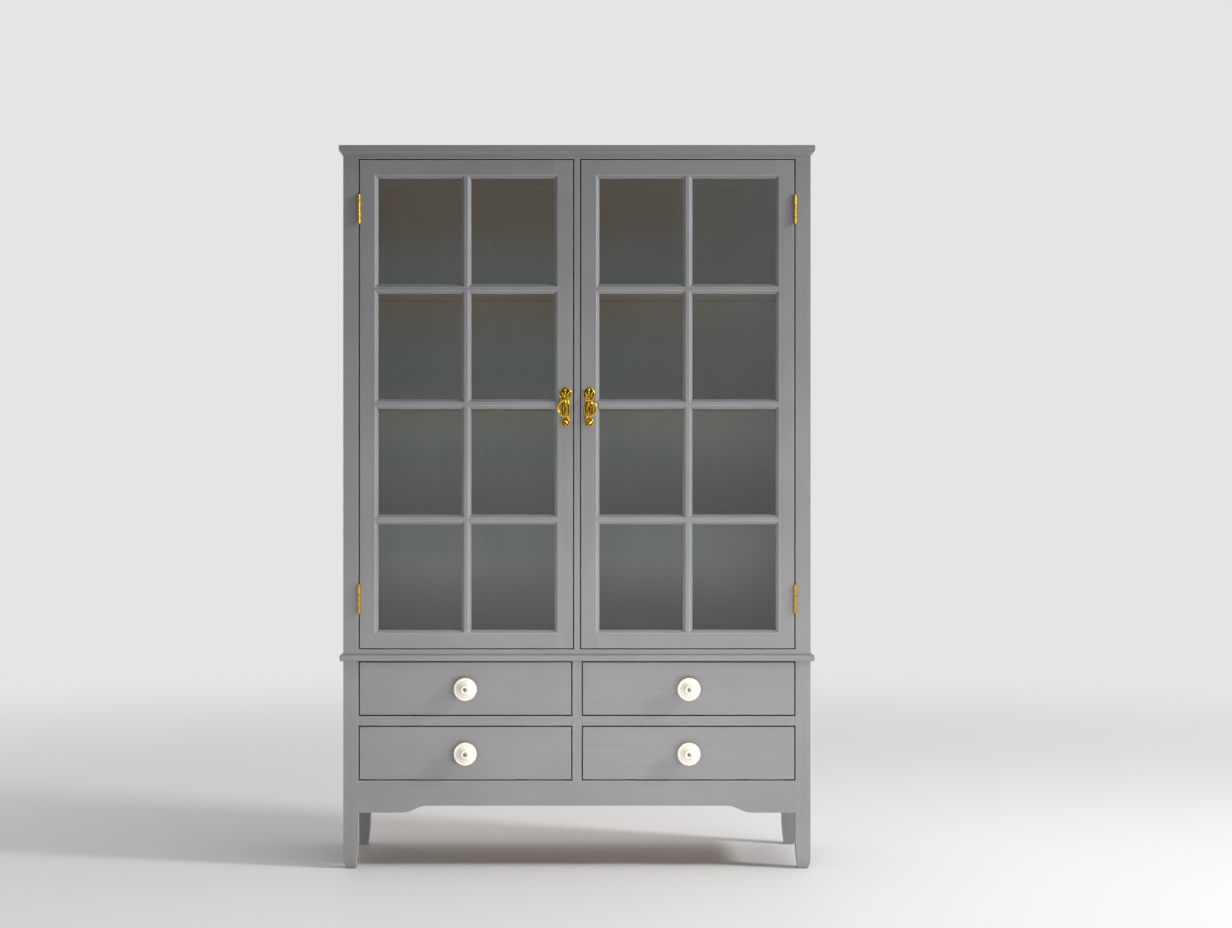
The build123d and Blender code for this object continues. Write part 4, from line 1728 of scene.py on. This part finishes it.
@dataclass(frozen=True)
class Dimple:
    """A sunk oval.

    Its half is half its width and height. Soft is the share of the way in over which it sinks.
    """

    middle: Pair
    half: Pair
    depth: float
    soft: float

    def at(self, u: float, v: float) -> float:
        """Its depth at a point."""
        across, up = (u - self.middle[0]) / self.half[0], (v - self.middle[1]) / self.half[1]
        return self.depth * ease(1 - math.hypot(across, up), 0.0, self.soft)


@dataclass(frozen=True)
class Lobe:
    """One rounded lobe of the handle's plate, an ellipse on the plate's middle line.

    Attributes:
        middle: Height of its middle over the handle's.
        half_width: Half its width.
        half_height: Half its height.
    """

    middle: float
    half_width: float
    half_height: float
    centre: float = 0.001

    def inset(self, u: float, v: float) -> float:
        """Tell about how far a point lies inside the lobe's edge.

        Args:
            u: Place across the plate.
            v: Place up the plate.

        Returns:
            The distance, below 0 outside the lobe.
        """
        across, up = u / self.half_width, (v - self.middle) / self.half_height
        share = math.hypot(across, up)
        if share < self.centre:
            return min(self.half_width, self.half_height)
        slope = math.hypot(across / self.half_width, up / self.half_height) / share
        return (1 - share) / slope

    def half_at(self, v: float) -> float:
        """Half the lobe's width at a height."""
        share = (v - self.middle) / self.half_height
        return self.half_width * math.sqrt(max(0.0, 1 - share * share))


@dataclass(frozen=True)
class Palmette:
    """Petals that fan out from a boss near one end of the plate.

    The middle petal points up the plate where way is 1 and down it where way is -1. The pitch is
    the angle from petal to petal in degrees. The fade is where the relief comes in, as heights
    counted that way, and the ground is its level outside the fan.
    """

    root: float
    way: int
    petals: int
    pitch: float
    boss: float
    fade: Pair
    boss_edge: float = 0.4
    boss_rise: float = 0.9
    ground: float = -0.5
    petal_edge: float = -0.35
    petal_rise: float = 0.75
    petal_curve: float = 2.15
    rib: Ridge = Ridge(0.0, 0.45, 0.7)

    def relief(self, u: float, v: float) -> float:
        """Height of the relief at a point of the plate."""
        return self.fan(u, self.way * (v - self.root)) * ease(self.way * v, *self.fade)

    def fan(self, u: float, up: float) -> float:
        """Height of the petals and the boss.

        Args:
            u: Place across from the boss.
            up: Place along the middle petal.

        Returns:
            The height in millimetres.
        """
        reach = math.hypot(u, up)
        if reach < self.boss:
            return self.boss_edge + self.boss_rise * math.sqrt(1 - (reach / self.boss) ** 2)
        place = math.degrees(math.atan2(u, up)) / self.pitch
        if abs(place) > self.petals / 2:
            return self.ground
        off = place - round(place)
        petal = self.petal_edge + self.petal_rise * (1 - (self.petal_curve * off) ** 2)
        return petal + self.rib.at(off * reach * math.radians(self.pitch))


@dataclass(frozen=True)
class Leaf:
    """The long leaf on the middle lobe, round a sunk eye.

    Its veins run out and up by their lean, come in between the roots and fade over the tip. The
    eye is told from the leaf's middle.
    """

    middle: float = -4.5
    half: Pair = (7.6, 16.5)
    spine: Ridge = Ridge(0.6, 0.7, 1.7)
    eye: Dimple = Dimple((-0.8, 0.5), (3.4, 7.8), 1.5, 0.45)
    vein_rise: float = 0.5
    vein_lean: Pair = (0.9, 0.8)
    vein_pitch: float = 5.2
    vein_root: Pair = (1.2, 2.2)
    vein_tip: float = 0.25

    def relief(self, u: float, v: float) -> float:
        """Height of the relief at a point of the plate.

        Args:
            u: Place across the plate.
            v: Place up the plate.

        Returns:
            The height in millimetres.
        """
        up = v - self.middle
        inside = 1 - math.hypot(u / self.half[0], up / self.half[1])
        if inside < 0:
            return 0.0
        place = abs(u) * self.vein_lean[0] - up * self.vein_lean[1]
        veins = self.vein_rise * math.cos(math.tau * place / self.vein_pitch)
        veins *= ease(abs(u), *self.vein_root) * ease(inside, 0, self.vein_tip)
        return self.spine.at(u) + veins - self.eye.at(u, up)


@dataclass
class Handle(SubAssembly):
    """Cast brass plate with a palmette at each end, and the bail that hangs in its two ears.

    Lengths across, up and outward are told from the middle of the plate's back. The left handle
    is modelled and the right one mirrors it.

    Attributes:
        middle_x: Where the left plate's middle line lies.
        front_y: Where the door's face lies.
        middle_z: Height of the plate's middle.
        lobes: The lobes whose union is the plate.
        wall: Height of the plate's side before it rounds over.
        shoulder: Radius of that rounding.
        rim: The bead and the groove that follow the plate's edge.
        inner: How far inside the edge the ornament comes in.
        crown: How far the lobes rise inside the rim.
        band: One of the ribs across the plate.
        bands: Heights of these ribs.
        band_bend: How much they bend down at their ends.
        eyelets: The two sunk eyes under the upper palmette.
        eyelet_lean: How much they lean down at their outer ends.
        highest: Greatest reach of the relief.
        grid: Step between the relief's rows.
        ends: Distances from the plate's tips of the rows that are added there.
        columns: Faces across half a row.
        blur: Rows and columns to each side that a hollow is measured against.
        hollow_gain: How fast a hollow counts as dark.
        hollow_start: What it takes to count at all.
        screws: Height of each screw, and turn of its slot in degrees.
        pad: Outward reach of the pads under the screws.
        pad_edge: Between which distances from the screw the pad comes in.
        ears: Lowest and highest point of each ear.
        ear_barrel: The barrel's profile, as height and radius.
        ear_neck: Sections of its neck, as outward reach, half width and half height.
        pivot: The bail's axis, across and outward.
        bail_middle: Middle of the bail's ring, across and up.
        bail_radius: Radius of the ring's middle line.
        bail_end: Angle of its ends from the right, in degrees.
        bail_steps: Faces along the ring.
        bail_thickness: Radius of its section at its ends, and how much more it is at its middle.
        bail_beads: The beads on the ring, by their share of its length.
    """

    side: Side
    middle_x: float = -27.0
    front_y: float = -172.15
    middle_z: float = 1063.0
    lobes: tuple[Lobe, ...] = (
        Lobe(29.5, 14.3, 16.5),
        Lobe(-5.0, 11.5, 23.0),
        Lobe(-35.2, 10.8, 10.8),
    )
    wall: float = 0.9
    shoulder: float = 1.4
    rim: tuple[Ridge, ...] = (Ridge(1.7, 0.55, 1.1), Ridge(3.1, -0.45, 0.9))
    inner: Pair = (3.0, 4.4)
    crown: float = 1.1
    crown_run: Pair = (3.0, 8.0)
    palmettes: tuple[Palmette, ...] = (
        Palmette(20.0, 1, 7, 30.0, 3.0, (14.5, 17.5)),
        Palmette(-30.5, -1, 5, 36.0, 2.0, (25.5, 28.0)),
    )
    leaf: Leaf = Leaf()
    band: Ridge = Ridge(0.0, 0.5, 1.2)
    bands: tuple[float, ...] = (13.6, 16.0, -24.6, -27.0)
    band_bend: float = 0.03
    eyelets: tuple[Dimple, ...] = (
        Dimple((-5.2, 18.4), (2.5, 2.9), 1.7, 0.6),
        Dimple((5.9, 18.4), (2.5, 2.9), 1.7, 0.6),
    )
    eyelet_lean: float = 0.25
    highest: float = 4.5
    grid: float = 0.5
    ends: tuple[float, ...] = (0.0, 0.02, 0.08, 0.2)
    columns: int = 26
    blur: tuple[int, int] = (4, 5)
    hollow_gain: float = 4.2
    hollow_start: float = 0.14
    screw: SlottedHead = SlottedHead(2.4, 1.2, 0.8, 0.9)
    screws: tuple[Pair, ...] = ((-40.0, 24.0), (40.0, -62.0))
    pad: float = 4.3
    pad_edge: Pair = (3.8, 2.9)
    pad_groove: Ridge = Ridge(4.4, -0.5, 0.8)
    ears: tuple[Pair, ...] = ((17.9, 22.9), (-29.3, -24.3))
    ear_barrel: tuple[Pair, ...] = (
        (0, 0), (0, 2.3), (0.4, 3.0), (1.0, 3.2), (1.5, 2.75), (2.5, 2.65),
        (3.5, 2.75), (4.0, 3.2), (4.6, 3.0), (5, 2.3), (5, 0),
    )
    ear_neck: tuple[Point, ...] = (
        (1.5, 4.2, 3.6), (3.2, 3.6, 3.0), (4.6, 2.7, 2.4), (6.2, 2.2, 2.1), (8.0, 2.2, 2.1),
        (9.5, 2.4, 2.1),
    )
    ear_steps: tuple[int, int] = (32, 28)
    pivot: Pair = (5.5, 9.5)
    bail_middle: Pair = (1.04, -3.2)
    bail_radius: float = 18.54
    bail_end: float = 76.1
    bail_steps: int = 120
    bail_thickness: Pair = (2.1, 0.8)
    bail_taper: float = 0.8
    bail_beads: tuple[Ridge, ...] = (Ridge(0.085, 0.55, 0.022), Ridge(0.915, 0.55, 0.022))
    ball: float = 2.8
    pin: Pair = (1.6, 6.8)
    bail_faces: tuple[int, int] = (28, 24)

    def at(self, u: float, v: float, w: float) -> Vector:
        """A point across, up and outward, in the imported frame."""
        return Vector((self.middle_x + u, self.front_y - w, self.middle_z + v))

    def build(self) -> None:
        """Cast the plate with its ears and screws, then the bail."""
        plate, bail = Shape(), Shape()
        self.cast_plate(plate)
        for low, high in self.ears:
            self.cast_ear(plate, low, high)
        for height, angle in self.screws:
            self.screw.add(plate, self.at(0, height, self.pad), angle)
        self.bend_bail(bail)
        for part, shape in (("plate", plate), ("bail", bail)):
            if self.side is Side.RIGHT:
                shape.mirrored()
            piece = shape.finish(f"{self.side.word}_{part}_cast")
            stand_in(piece, BRASS, f"{self.side.word}_handle_{part}")

    def relief(self, u: float, v: float) -> float:
        """Outward reach of the cast face at a point.

        Args:
            u: Place across the plate.
            v: Place up the plate.

        Returns:
            The reach in millimetres.
        """
        inset = max(0.0, *(lobe.inset(u, v) for lobe in self.lobes))
        rounding = min(inset / self.shoulder, 1.0)
        reach = self.wall + self.shoulder * math.sqrt(1 - (1 - rounding) ** 2)
        reach += sum(ridge.at(inset) for ridge in self.rim)
        reach += self.crown * ease(inset, *self.crown_run)
        bend = self.band_bend * u * u
        ornament = sum(palmette.relief(u, v) for palmette in self.palmettes)
        ornament += self.leaf.relief(u, v)
        ornament += sum(self.band.at(v - height + bend) for height in self.bands)
        reach += ease(inset, *self.inner) * ornament
        reach -= sum(eyelet.at(u, v + self.eyelet_lean * abs(u)) for eyelet in self.eyelets)
        for height, _ in self.screws:
            distance = math.hypot(u, v - height)
            reach += ease(distance, *self.pad_edge) * (self.pad - reach)
            reach += self.pad_groove.at(distance)
        return min(max(reach, self.wall), self.highest)

    def cast_plate(self, shape: Shape) -> None:
        """Add the plate's relief, its side and its flat back.

        Args:
            shape: The shape that takes it.
        """
        low = min(lobe.middle - lobe.half_height for lobe in self.lobes)
        high = max(lobe.middle + lobe.half_height for lobe in self.lobes)
        count = round((high - low) / self.grid)
        levels = [low + (high - low) * i / count for i in range(1, count)]
        for near in self.ends:
            levels += [low + near, high - near]
        steps = range(-self.columns, self.columns + 1)
        shares = [math.sin(QUARTER * step / self.columns) for step in steps]
        halves = [(v, max(lobe.half_at(v) for lobe in self.lobes)) for v in sorted(levels)]
        reaches = [[self.relief(share * half, v) for share in shares] for v, half in halves]
        rows, darks = [], []
        for (v, half), reach, hollow in zip(halves, reaches, self.hollows(reaches)):
            face = [self.at(share * half, v, w) for share, w in zip(shares, reach)]
            rows.append([self.at(-half, v, 0), *face, self.at(half, v, 0)])
            darks.append([0.0, *hollow, 0.0])
        shape.backed(rows, darks)

    def hollows(self, reaches: list[list[float]]) -> list[list[float]]:
        """Tell how far each point of the relief lies behind its neighbours.

        Args:
            reaches: Outward reach over the grid.

        Returns:
            One value of 0 to 1 for each point of the grid.
        """

        def blurred(line: Sequence[float], span: int) -> list[float]:
            """Each value's mean with its neighbours."""
            windows = [line[max(i - span, 0) : i + span + 1] for i in range(len(line))]
            return [sum(window) / len(window) for window in windows]

        def dark(mean: float, reach: float) -> float:
            """How hollow a point is."""
            return min(max(self.hollow_gain * (mean - reach) - self.hollow_start, 0.0), 1.0)

        rows, columns = self.blur
        across = [blurred(line, columns) for line in reaches]
        down = zip(*(blurred(column, rows) for column in zip(*across)))
        return [list(map(dark, means, line)) for means, line in zip(down, reaches)]

    def cast_ear(self, shape: Shape, low: float, high: float) -> None:
        """Add one ear: a beaded barrel on a neck that spreads into the plate.

        Args:
            shape: The plate's shape.
            low: Its lowest height.
            high: Its highest height.
        """
        across, outward = self.pivot
        around, about = self.ear_steps
        stretch = (high - low) / self.ear_barrel[-1][0]
        line = rounded([(reach * stretch, radius) for reach, radius in self.ear_barrel], 2)
        shape.lathe(line, self.at(across, low, outward), Vector((0, 0, 1)), around)
        middle = (low + high) / 2
        rows = []
        for reach, wide, tall in self.ear_neck:
            rows.append(
                [
                    self.at(across + wide * math.cos(a), middle + tall * math.sin(a), reach)
                    for a in turn(about)
                ]
            )
        start, end = (self.at(across, middle, self.ear_neck[i][0]) for i in (0, -1))
        shape.capped(rows, start, end)

    def bend_bail(self, shape: Shape) -> None:
        """Add the bail: a beaded ring, the balls at its ends and their pins.

        Args:
            shape: The shape that takes it.
        """
        outward = self.pivot[1]
        middle_u, middle_v = self.bail_middle
        thin, thicker = self.bail_thickness
        round_ring, round_pin = self.bail_faces
        path, radii = [], []
        for step in range(self.bail_steps + 1):
            share = step / self.bail_steps
            angle = math.radians(self.bail_end + (360 - 2 * self.bail_end) * share)
            u = middle_u + self.bail_radius * math.cos(angle)
            v = middle_v + self.bail_radius * math.sin(angle)
            path.append(self.at(u, v, outward))
            radius = thin + thicker * math.sin(math.pi * share) ** self.bail_taper
            radii.append(radius + sum(bead.at(share) for bead in self.bail_beads))
        shape.tube(path, radii, round_ring)
        arc = [math.pi * k / 16 for k in range(17)]
        ball = [(-self.ball * math.cos(a), self.ball * math.sin(a)) for a in arc]
        radius, length = self.pin
        for point, way in ((path[0], 1), (path[-1], -1)):
            shape.lathe(ball, point, Vector((0, 0, way)), round_ring)
            shape.rod((0, length), radius, point, Vector((0, 0, way)), round_pin)


@dataclass
class DrawerPart(SubAssembly):
    """What belongs to one of the four drawers.

    Attributes:
        side: Which column it is in.
        row: Which row it is in.
        slot_angle: Turn of the slot in the knob's screw from level, in degrees.
    """

    side: Side
    row: DrawerRow
    slot_angle: float

    @property
    def word(self) -> str:
        """Start of the names of this drawer's pieces."""
        return f"{self.row.word}_{self.side.word}_drawer"


@dataclass
class Knob(DrawerPart):
    """Turned porcelain knob with the slotted screw that holds it.

    Attributes:
        centre_x: Distance of its axis from the cabinet's middle.
        front_y: Where the drawer's face lies.
        profile: Reach from the face and radius, from the foot to the nose.
        rounds: How often the profile's corners are cut.
        hollow_gain: How fast a hollow counts as stained.
        seat: Reach of the screw's seat from the drawer's face.
        reach: Distance from the seat to the screw's inner end.
        nut: Radius of the six-sided nut over its corners.
        nut_edge: Width of its bevelled edges.
    """

    centre_x: float = 256.75
    front_y: float = -172.15
    profile: tuple[Pair, ...] = (
        (0, 14.0), (0, 15.1), (3.0, 15.3), (4.6, 15.0), (5.6, 12.6), (8.6, 11.0), (11.5, 11.0),
        (13.8, 14.5), (15.2, 20.5), (16.2, 25.2), (18.2, 26.6), (20.4, 26.4), (21.8, 25.0),
        (22.1, 23.2), (22.0, 21.8), (22.6, 20.2), (24.0, 18.2), (26.0, 15.8), (28.0, 13.6),
        (29.6, 12.1), (31.0, 11.3), (33.0, 10.6), (34.7, 9.4), (35.4, 7.6), (35.1, 6.0),
        (34.0, 5.2), (33.5, 2.8),
    )
    bore: float = 2.8
    rounds: int = 3
    steps: int = 112
    blur: int = 14
    hollow_gain: float = 0.9
    head: SlottedHead = SlottedHead(4.7, 2.2, 1.7, 1.3)
    seat: float = 33.5
    shank: float = 2.5
    reach: float = 60.2
    shank_steps: int = 32
    nut: float = 5.5
    nut_height: float = 5.0
    nut_edge: float = 0.4
    nut_hole: float = 3.0

    @property
    def centre(self) -> Vector:
        """Where the knob's axis meets the drawer's face."""
        return Vector((self.side.value * self.centre_x, self.front_y, self.row.value))

    def build(self) -> None:
        """Turn the knob and seat its screw."""
        knob, screw = Shape(), Shape()
        self.turn_knob(knob)
        self.add_screw(screw)
        stand_in(knob.finish(f"{self.word}_knob_turned"), PORCELAIN, f"{self.word}_knob")
        stand_in(screw.finish(f"{self.word}_screw"), SCREW_STEEL, f"{self.word}_knob_screw")

    def turn_knob(self, shape: Shape) -> None:
        """Add the turned body with its bore, stained in the grooves.

        Args:
            shape: The shape that takes it.
        """
        line = rounded(self.profile, self.rounds)
        hollows = []
        for index, (reach, _) in enumerate(line):
            window = [r for r, _ in line[max(index - self.blur, 0) : index + self.blur + 1]]
            behind = (sum(window) / len(window) - reach) * self.hollow_gain
            hollows.append(max(0.0, min(1.0, behind)))
        bored = [(0, self.bore), *line, (0, self.bore)]
        shape.lathe(bored, self.centre, Vector((0, -1, 0)), self.steps, [0, *hollows, 0])

    def add_screw(self, shape: Shape) -> None:
        """Add the screw through the knob and the drawer's front, with its nut.

        Args:
            shape: The shape that takes it.
        """
        seat = self.centre - Vector((0, self.seat, 0))
        inward = Vector((0, 1, 0))
        self.head.add(shape, seat, self.slot_angle)
        shape.rod((self.head.skirt, self.reach), self.shank, seat, inward, self.shank_steps)
        edge, hole, wide, tall = self.nut_edge, self.nut_hole, self.nut, self.nut_height
        low = ((0, hole), (0, wide - edge), (edge, wide))
        high = ((tall - edge, wide), (tall, wide - edge), (tall, hole))
        shape.lathe((*low, *high, low[0]), seat + inward * (self.reach - tall), inward, 6)


@dataclass
class Drawer(DrawerPart):
    """One drawer with its front, box and knob.

    Attributes:
        front_arris: Rounding round the front.
        box_arris: Rounding of the bare box.
    """

    front_arris: float = 1.1
    box_arris: float = 0.6

    def build(self) -> None:
        """Dress the front and the box, then add the knob."""
        JOINERY.dress([f"{self.word}_front"], GREY_PAINT, self.front_arris)
        JOINERY.dress([f"{self.word}_box"], BARE_WOOD, self.box_arris)
        Knob(self.side, self.row, self.slot_angle).build()


# ---------------------------------------------------------------- studio


class Reach(Enum):
    """What a lamp lights, as the state of its link to the floor."""

    ALL = ""
    CABINET_ONLY = "EXCLUDE"
    FLOOR_ONLY = "INCLUDE"


@dataclass(frozen=True)
class Lamp:
    """A soft box that lights from one side. Glass and metal show it only where it lights all.

    Attributes:
        place: Where it hangs.
        aim: The point that it faces.
        size: Its width and height.
        power: Its power in watts.
        reach: What it lights.
    """

    name: str
    place: Point
    aim: Point
    size: Pair
    power: float
    colour: Colour
    reach: Reach = Reach.ALL

    def hang(self, floor: bpy.types.Object) -> None:
        """Add the lamp to the scene.

        Args:
            floor: The floor, which its reach may leave out or light alone.
        """
        light = bpy.data.lights.new(self.name, "AREA")
        light.shape, light.energy, light.color = "RECTANGLE", self.power, self.colour
        light.size, light.size_y = self.size
        made = add_object(self.name, light)
        made.location = self.place
        ahead = Vector(self.aim) - Vector(self.place)
        made.rotation_euler = ahead.to_track_quat("-Z", "Y").to_euler()
        made.visible_camera = False
        made.visible_glossy = made.visible_transmission = self.reach is Reach.ALL
        if self.reach is not Reach.ALL:
            lit = bpy.data.collections.new(f"{self.name}_lit")
            lit.objects.link(floor)
            lit.collection_objects[0].light_linking.link_state = self.reach.value
            made.light_linking.receiver_collection = lit
        LOG.info("%s lamp hung", self.name)


@dataclass(frozen=True)
class RoomPart:
    """A part of the room that glass and metal mirror, from one direction on."""

    axis: str
    start: float
    end: float
    colour: Colour
    share: float = 1.0


DAYLIGHT = linear(250, 251, 255)


@dataclass
class Studio:
    """Floor, lamps, background and camera, in metres.

    Attributes:
        floor_radius: Size of the pale floor.
        fade: Where the floor starts and ends melting into the background.
        floor_colour: The floor's own colour.
        floor_specular: Strength of its mirrored light.
        room_floor: What glass and metal mirror from below.
        room: What they mirror over that, one part after another.
        room_ahead: Between which directions the mirrored room turns into the background.
        sky: Colour of the even light.
        ambient: Strength of the even light from the front and from behind.
        ambient_turn: Between which directions it goes from one to the other.
        zenith: Strength of the light from high above.
        zenith_edge: Between which directions that light comes in.
        lens_shift: How far its picture is shifted, as shares of its width.
    """

    lamps: tuple[Lamp, ...] = (
        Lamp("key", (4.4, -1.5, 3.1), (0, 0, 0.8), (0.8, 0.8), 170, linear(245, 249, 255)),
        Lamp("fill", (3.0, -2.6, 1.6), (0, 0, 0.6), (1.4, 1.4), 5, DAYLIGHT),
        Lamp(
            "low_front", (0, -1.1, 0.42), (0, 0, 0.2), (1.6, 0.7), 6.6,
            linear(254, 250, 246), Reach.CABINET_ONLY,
        ),
        Lamp(
            "low_right", (0.5, -1.5, 0.15), (0, 0, 0.15), (1.6, 0.5), 10,
            linear(254, 251, 248), Reach.CABINET_ONLY,
        ),
        Lamp(
            "right_edge", (1.3, -0.85, 1.35), (0.5, -0.17, 1.2), (0.4, 1.0), 2.3,
            DAYLIGHT, Reach.CABINET_ONLY,
        ),
        Lamp(
            "floor_wash", (1.2, -0.9, 3.8), (0.3, -0.5, 0), (3.0, 3.0), 46,
            linear(255, 253, 250), Reach.FLOOR_ONLY,
        ),
        Lamp(
            "back", (-1.6, 3.6, 2.3), (0, 0, 0.8), (2.0, 2.0), 165,
            DAYLIGHT, Reach.CABINET_ONLY,
        ),
    )
    floor_radius: float = 40.0
    floor_sides: int = 96
    fade: Pair = (0.8, 5.0)
    floor_colour: Colour = linear(236, 235, 233)
    floor_roughness: float = 0.55
    floor_specular: float = 0.3
    background: Colour = linear(228, 229, 230)
    room_floor: Colour = linear(198, 212, 212)
    room: tuple[RoomPart, ...] = (
        RoomPart("Z", 0.01, 0.115, linear(186, 132, 62)),
        RoomPart("X", 0.01, 0.11, linear(242, 245, 246), 0.85),
        RoomPart("Z", 0.14, 0.3, linear(44, 38, 34)),
        RoomPart("X", -0.12, -0.4, linear(70, 62, 56)),
        RoomPart("Z", 0.6, 0.8, linear(236, 239, 242)),
    )
    room_ahead: Pair = (-0.55, 0.35)
    sky: Colour = DAYLIGHT
    ambient: Pair = (0.015, 0.3)
    ambient_turn: Pair = (-0.3, 0.5)
    zenith: float = 0.9
    zenith_edge: Pair = (0.7, 0.95)
    camera_place: Point = (-0.031, -5.772, 0.964)
    focal_length: float = 71.1
    sensor: float = 36
    lens_shift: Pair = (0.0426, -0.0114)

    def build(self) -> None:
        """Make every part of the studio."""
        floor = self.lay_floor()
        self.light_world()
        for lamp in self.lamps:
            lamp.hang(floor)
        self.set_camera()

    @staticmethod
    def shown(graph: Graph) -> Socket:
        """A mask of what is seen, seen through glass or mirrored, and not only lights others."""
        return graph.rays("Camera", "Transmission", "Glossy")

    def lay_floor(self) -> bpy.types.Object:
        """Lay a wide disc that melts into the background far out.

        Returns:
            The floor.
        """
        bm = bmesh.new()
        bmesh.ops.create_circle(
            bm, cap_ends=True, segments=self.floor_sides, radius=self.floor_radius
        )
        floor = add_object("floor", to_mesh(bm, "floor"))
        material = bpy.data.materials.new("pale_floor")
        material.use_nodes = True
        graph = Graph(material.node_tree)
        place = {0: graph.position()}
        distance = graph.add("VectorMath", place, operation="LENGTH").outputs["Value"]
        far = graph.times(graph.ramp(distance, *self.fade), self.shown(graph))
        near = graph.principled(
            self.floor_colour, self.floor_roughness, Specular_IOR_Level=self.floor_specular
        )
        away = graph.add("Emission", {"Color": self.background}).outputs[0]
        graph.add("OutputMaterial", {"Surface": graph.blend(far, near, away)})
        floor.data.materials.append(material)
        LOG.info("floor laid")
        return floor

    def light_world(self) -> None:
        """Even light all round, and a pale background where it is seen or mirrored."""
        world = bpy.data.worlds.new("studio")
        bpy.context.scene.world = world
        world.use_nodes = True
        graph = Graph(world.node_tree)
        direction = graph.add("TexCoord").outputs["Generated"]
        axes = graph.add("SeparateXYZ", {0: direction}).outputs
        room = self.room_floor
        for part in self.room:
            share = graph.ramp(axes[part.axis], part.start, part.end, 0, part.share)
            room = graph.mix(share, room, part.colour)
        mirrored = graph.mix(graph.ramp(axes["Y"], *self.room_ahead), room, self.background)
        seen = graph.rays("Camera", "Transmission")
        picture = graph.mix(seen, mirrored, self.background)
        backdrop = graph.add("Background", {"Color": picture}).outputs[0]
        around = graph.ramp(axes["Y"], *self.ambient_turn, *self.ambient)
        above = graph.ramp(axes["Z"], *self.zenith_edge, 0, self.zenith)
        inputs = {"Color": self.sky, "Strength": graph.math("ADD", around, above)}
        light = graph.add("Background", inputs).outputs[0]
        surface = graph.blend(self.shown(graph), light, backdrop)
        graph.add("OutputWorld", {"Surface": surface})
        LOG.info("world lit")

    def set_camera(self) -> None:
        """Stand the camera where the photograph was taken."""
        lens = bpy.data.cameras.new("camera")
        lens.lens, lens.sensor_width = self.focal_length, self.sensor
        lens.shift_x, lens.shift_y = self.lens_shift
        camera = add_object("camera", lens)
        camera.location = self.camera_place
        camera.rotation_euler = (QUARTER, 0, 0)
        bpy.context.scene.camera = camera
        bpy.context.scene.view_settings.view_transform = "Standard"


def main(slot_angles: Sequence[float] = (-38.0, -46.0, -33.0, -41.0)) -> None:
    """Build every part of the cabinet in order.

    Args:
        slot_angles: Turn of each knob screw's slot, in degrees, row by row.
    """
    logging.basicConfig(level=logging.INFO, format="%(message)s")
    JOINERY.survey()
    LOG.info("surveyed %d nodes", len(JOINERY.solids))
    places = [(side, row) for row in DrawerRow for side in Side]
    parts: list[SubAssembly] = [Base(), UpperCase(), DoorStops()]
    parts += [GlazedDoor(side) for side in Side]
    parts += [Handle(side) for side in Side]
    parts.append(Hinges())
    parts += [Drawer(*place, angle) for place, angle in zip(places, slot_angles)]
    for part in parts:
        part.build()
    Studio().build()


if __name__ == "__main__":
    main()
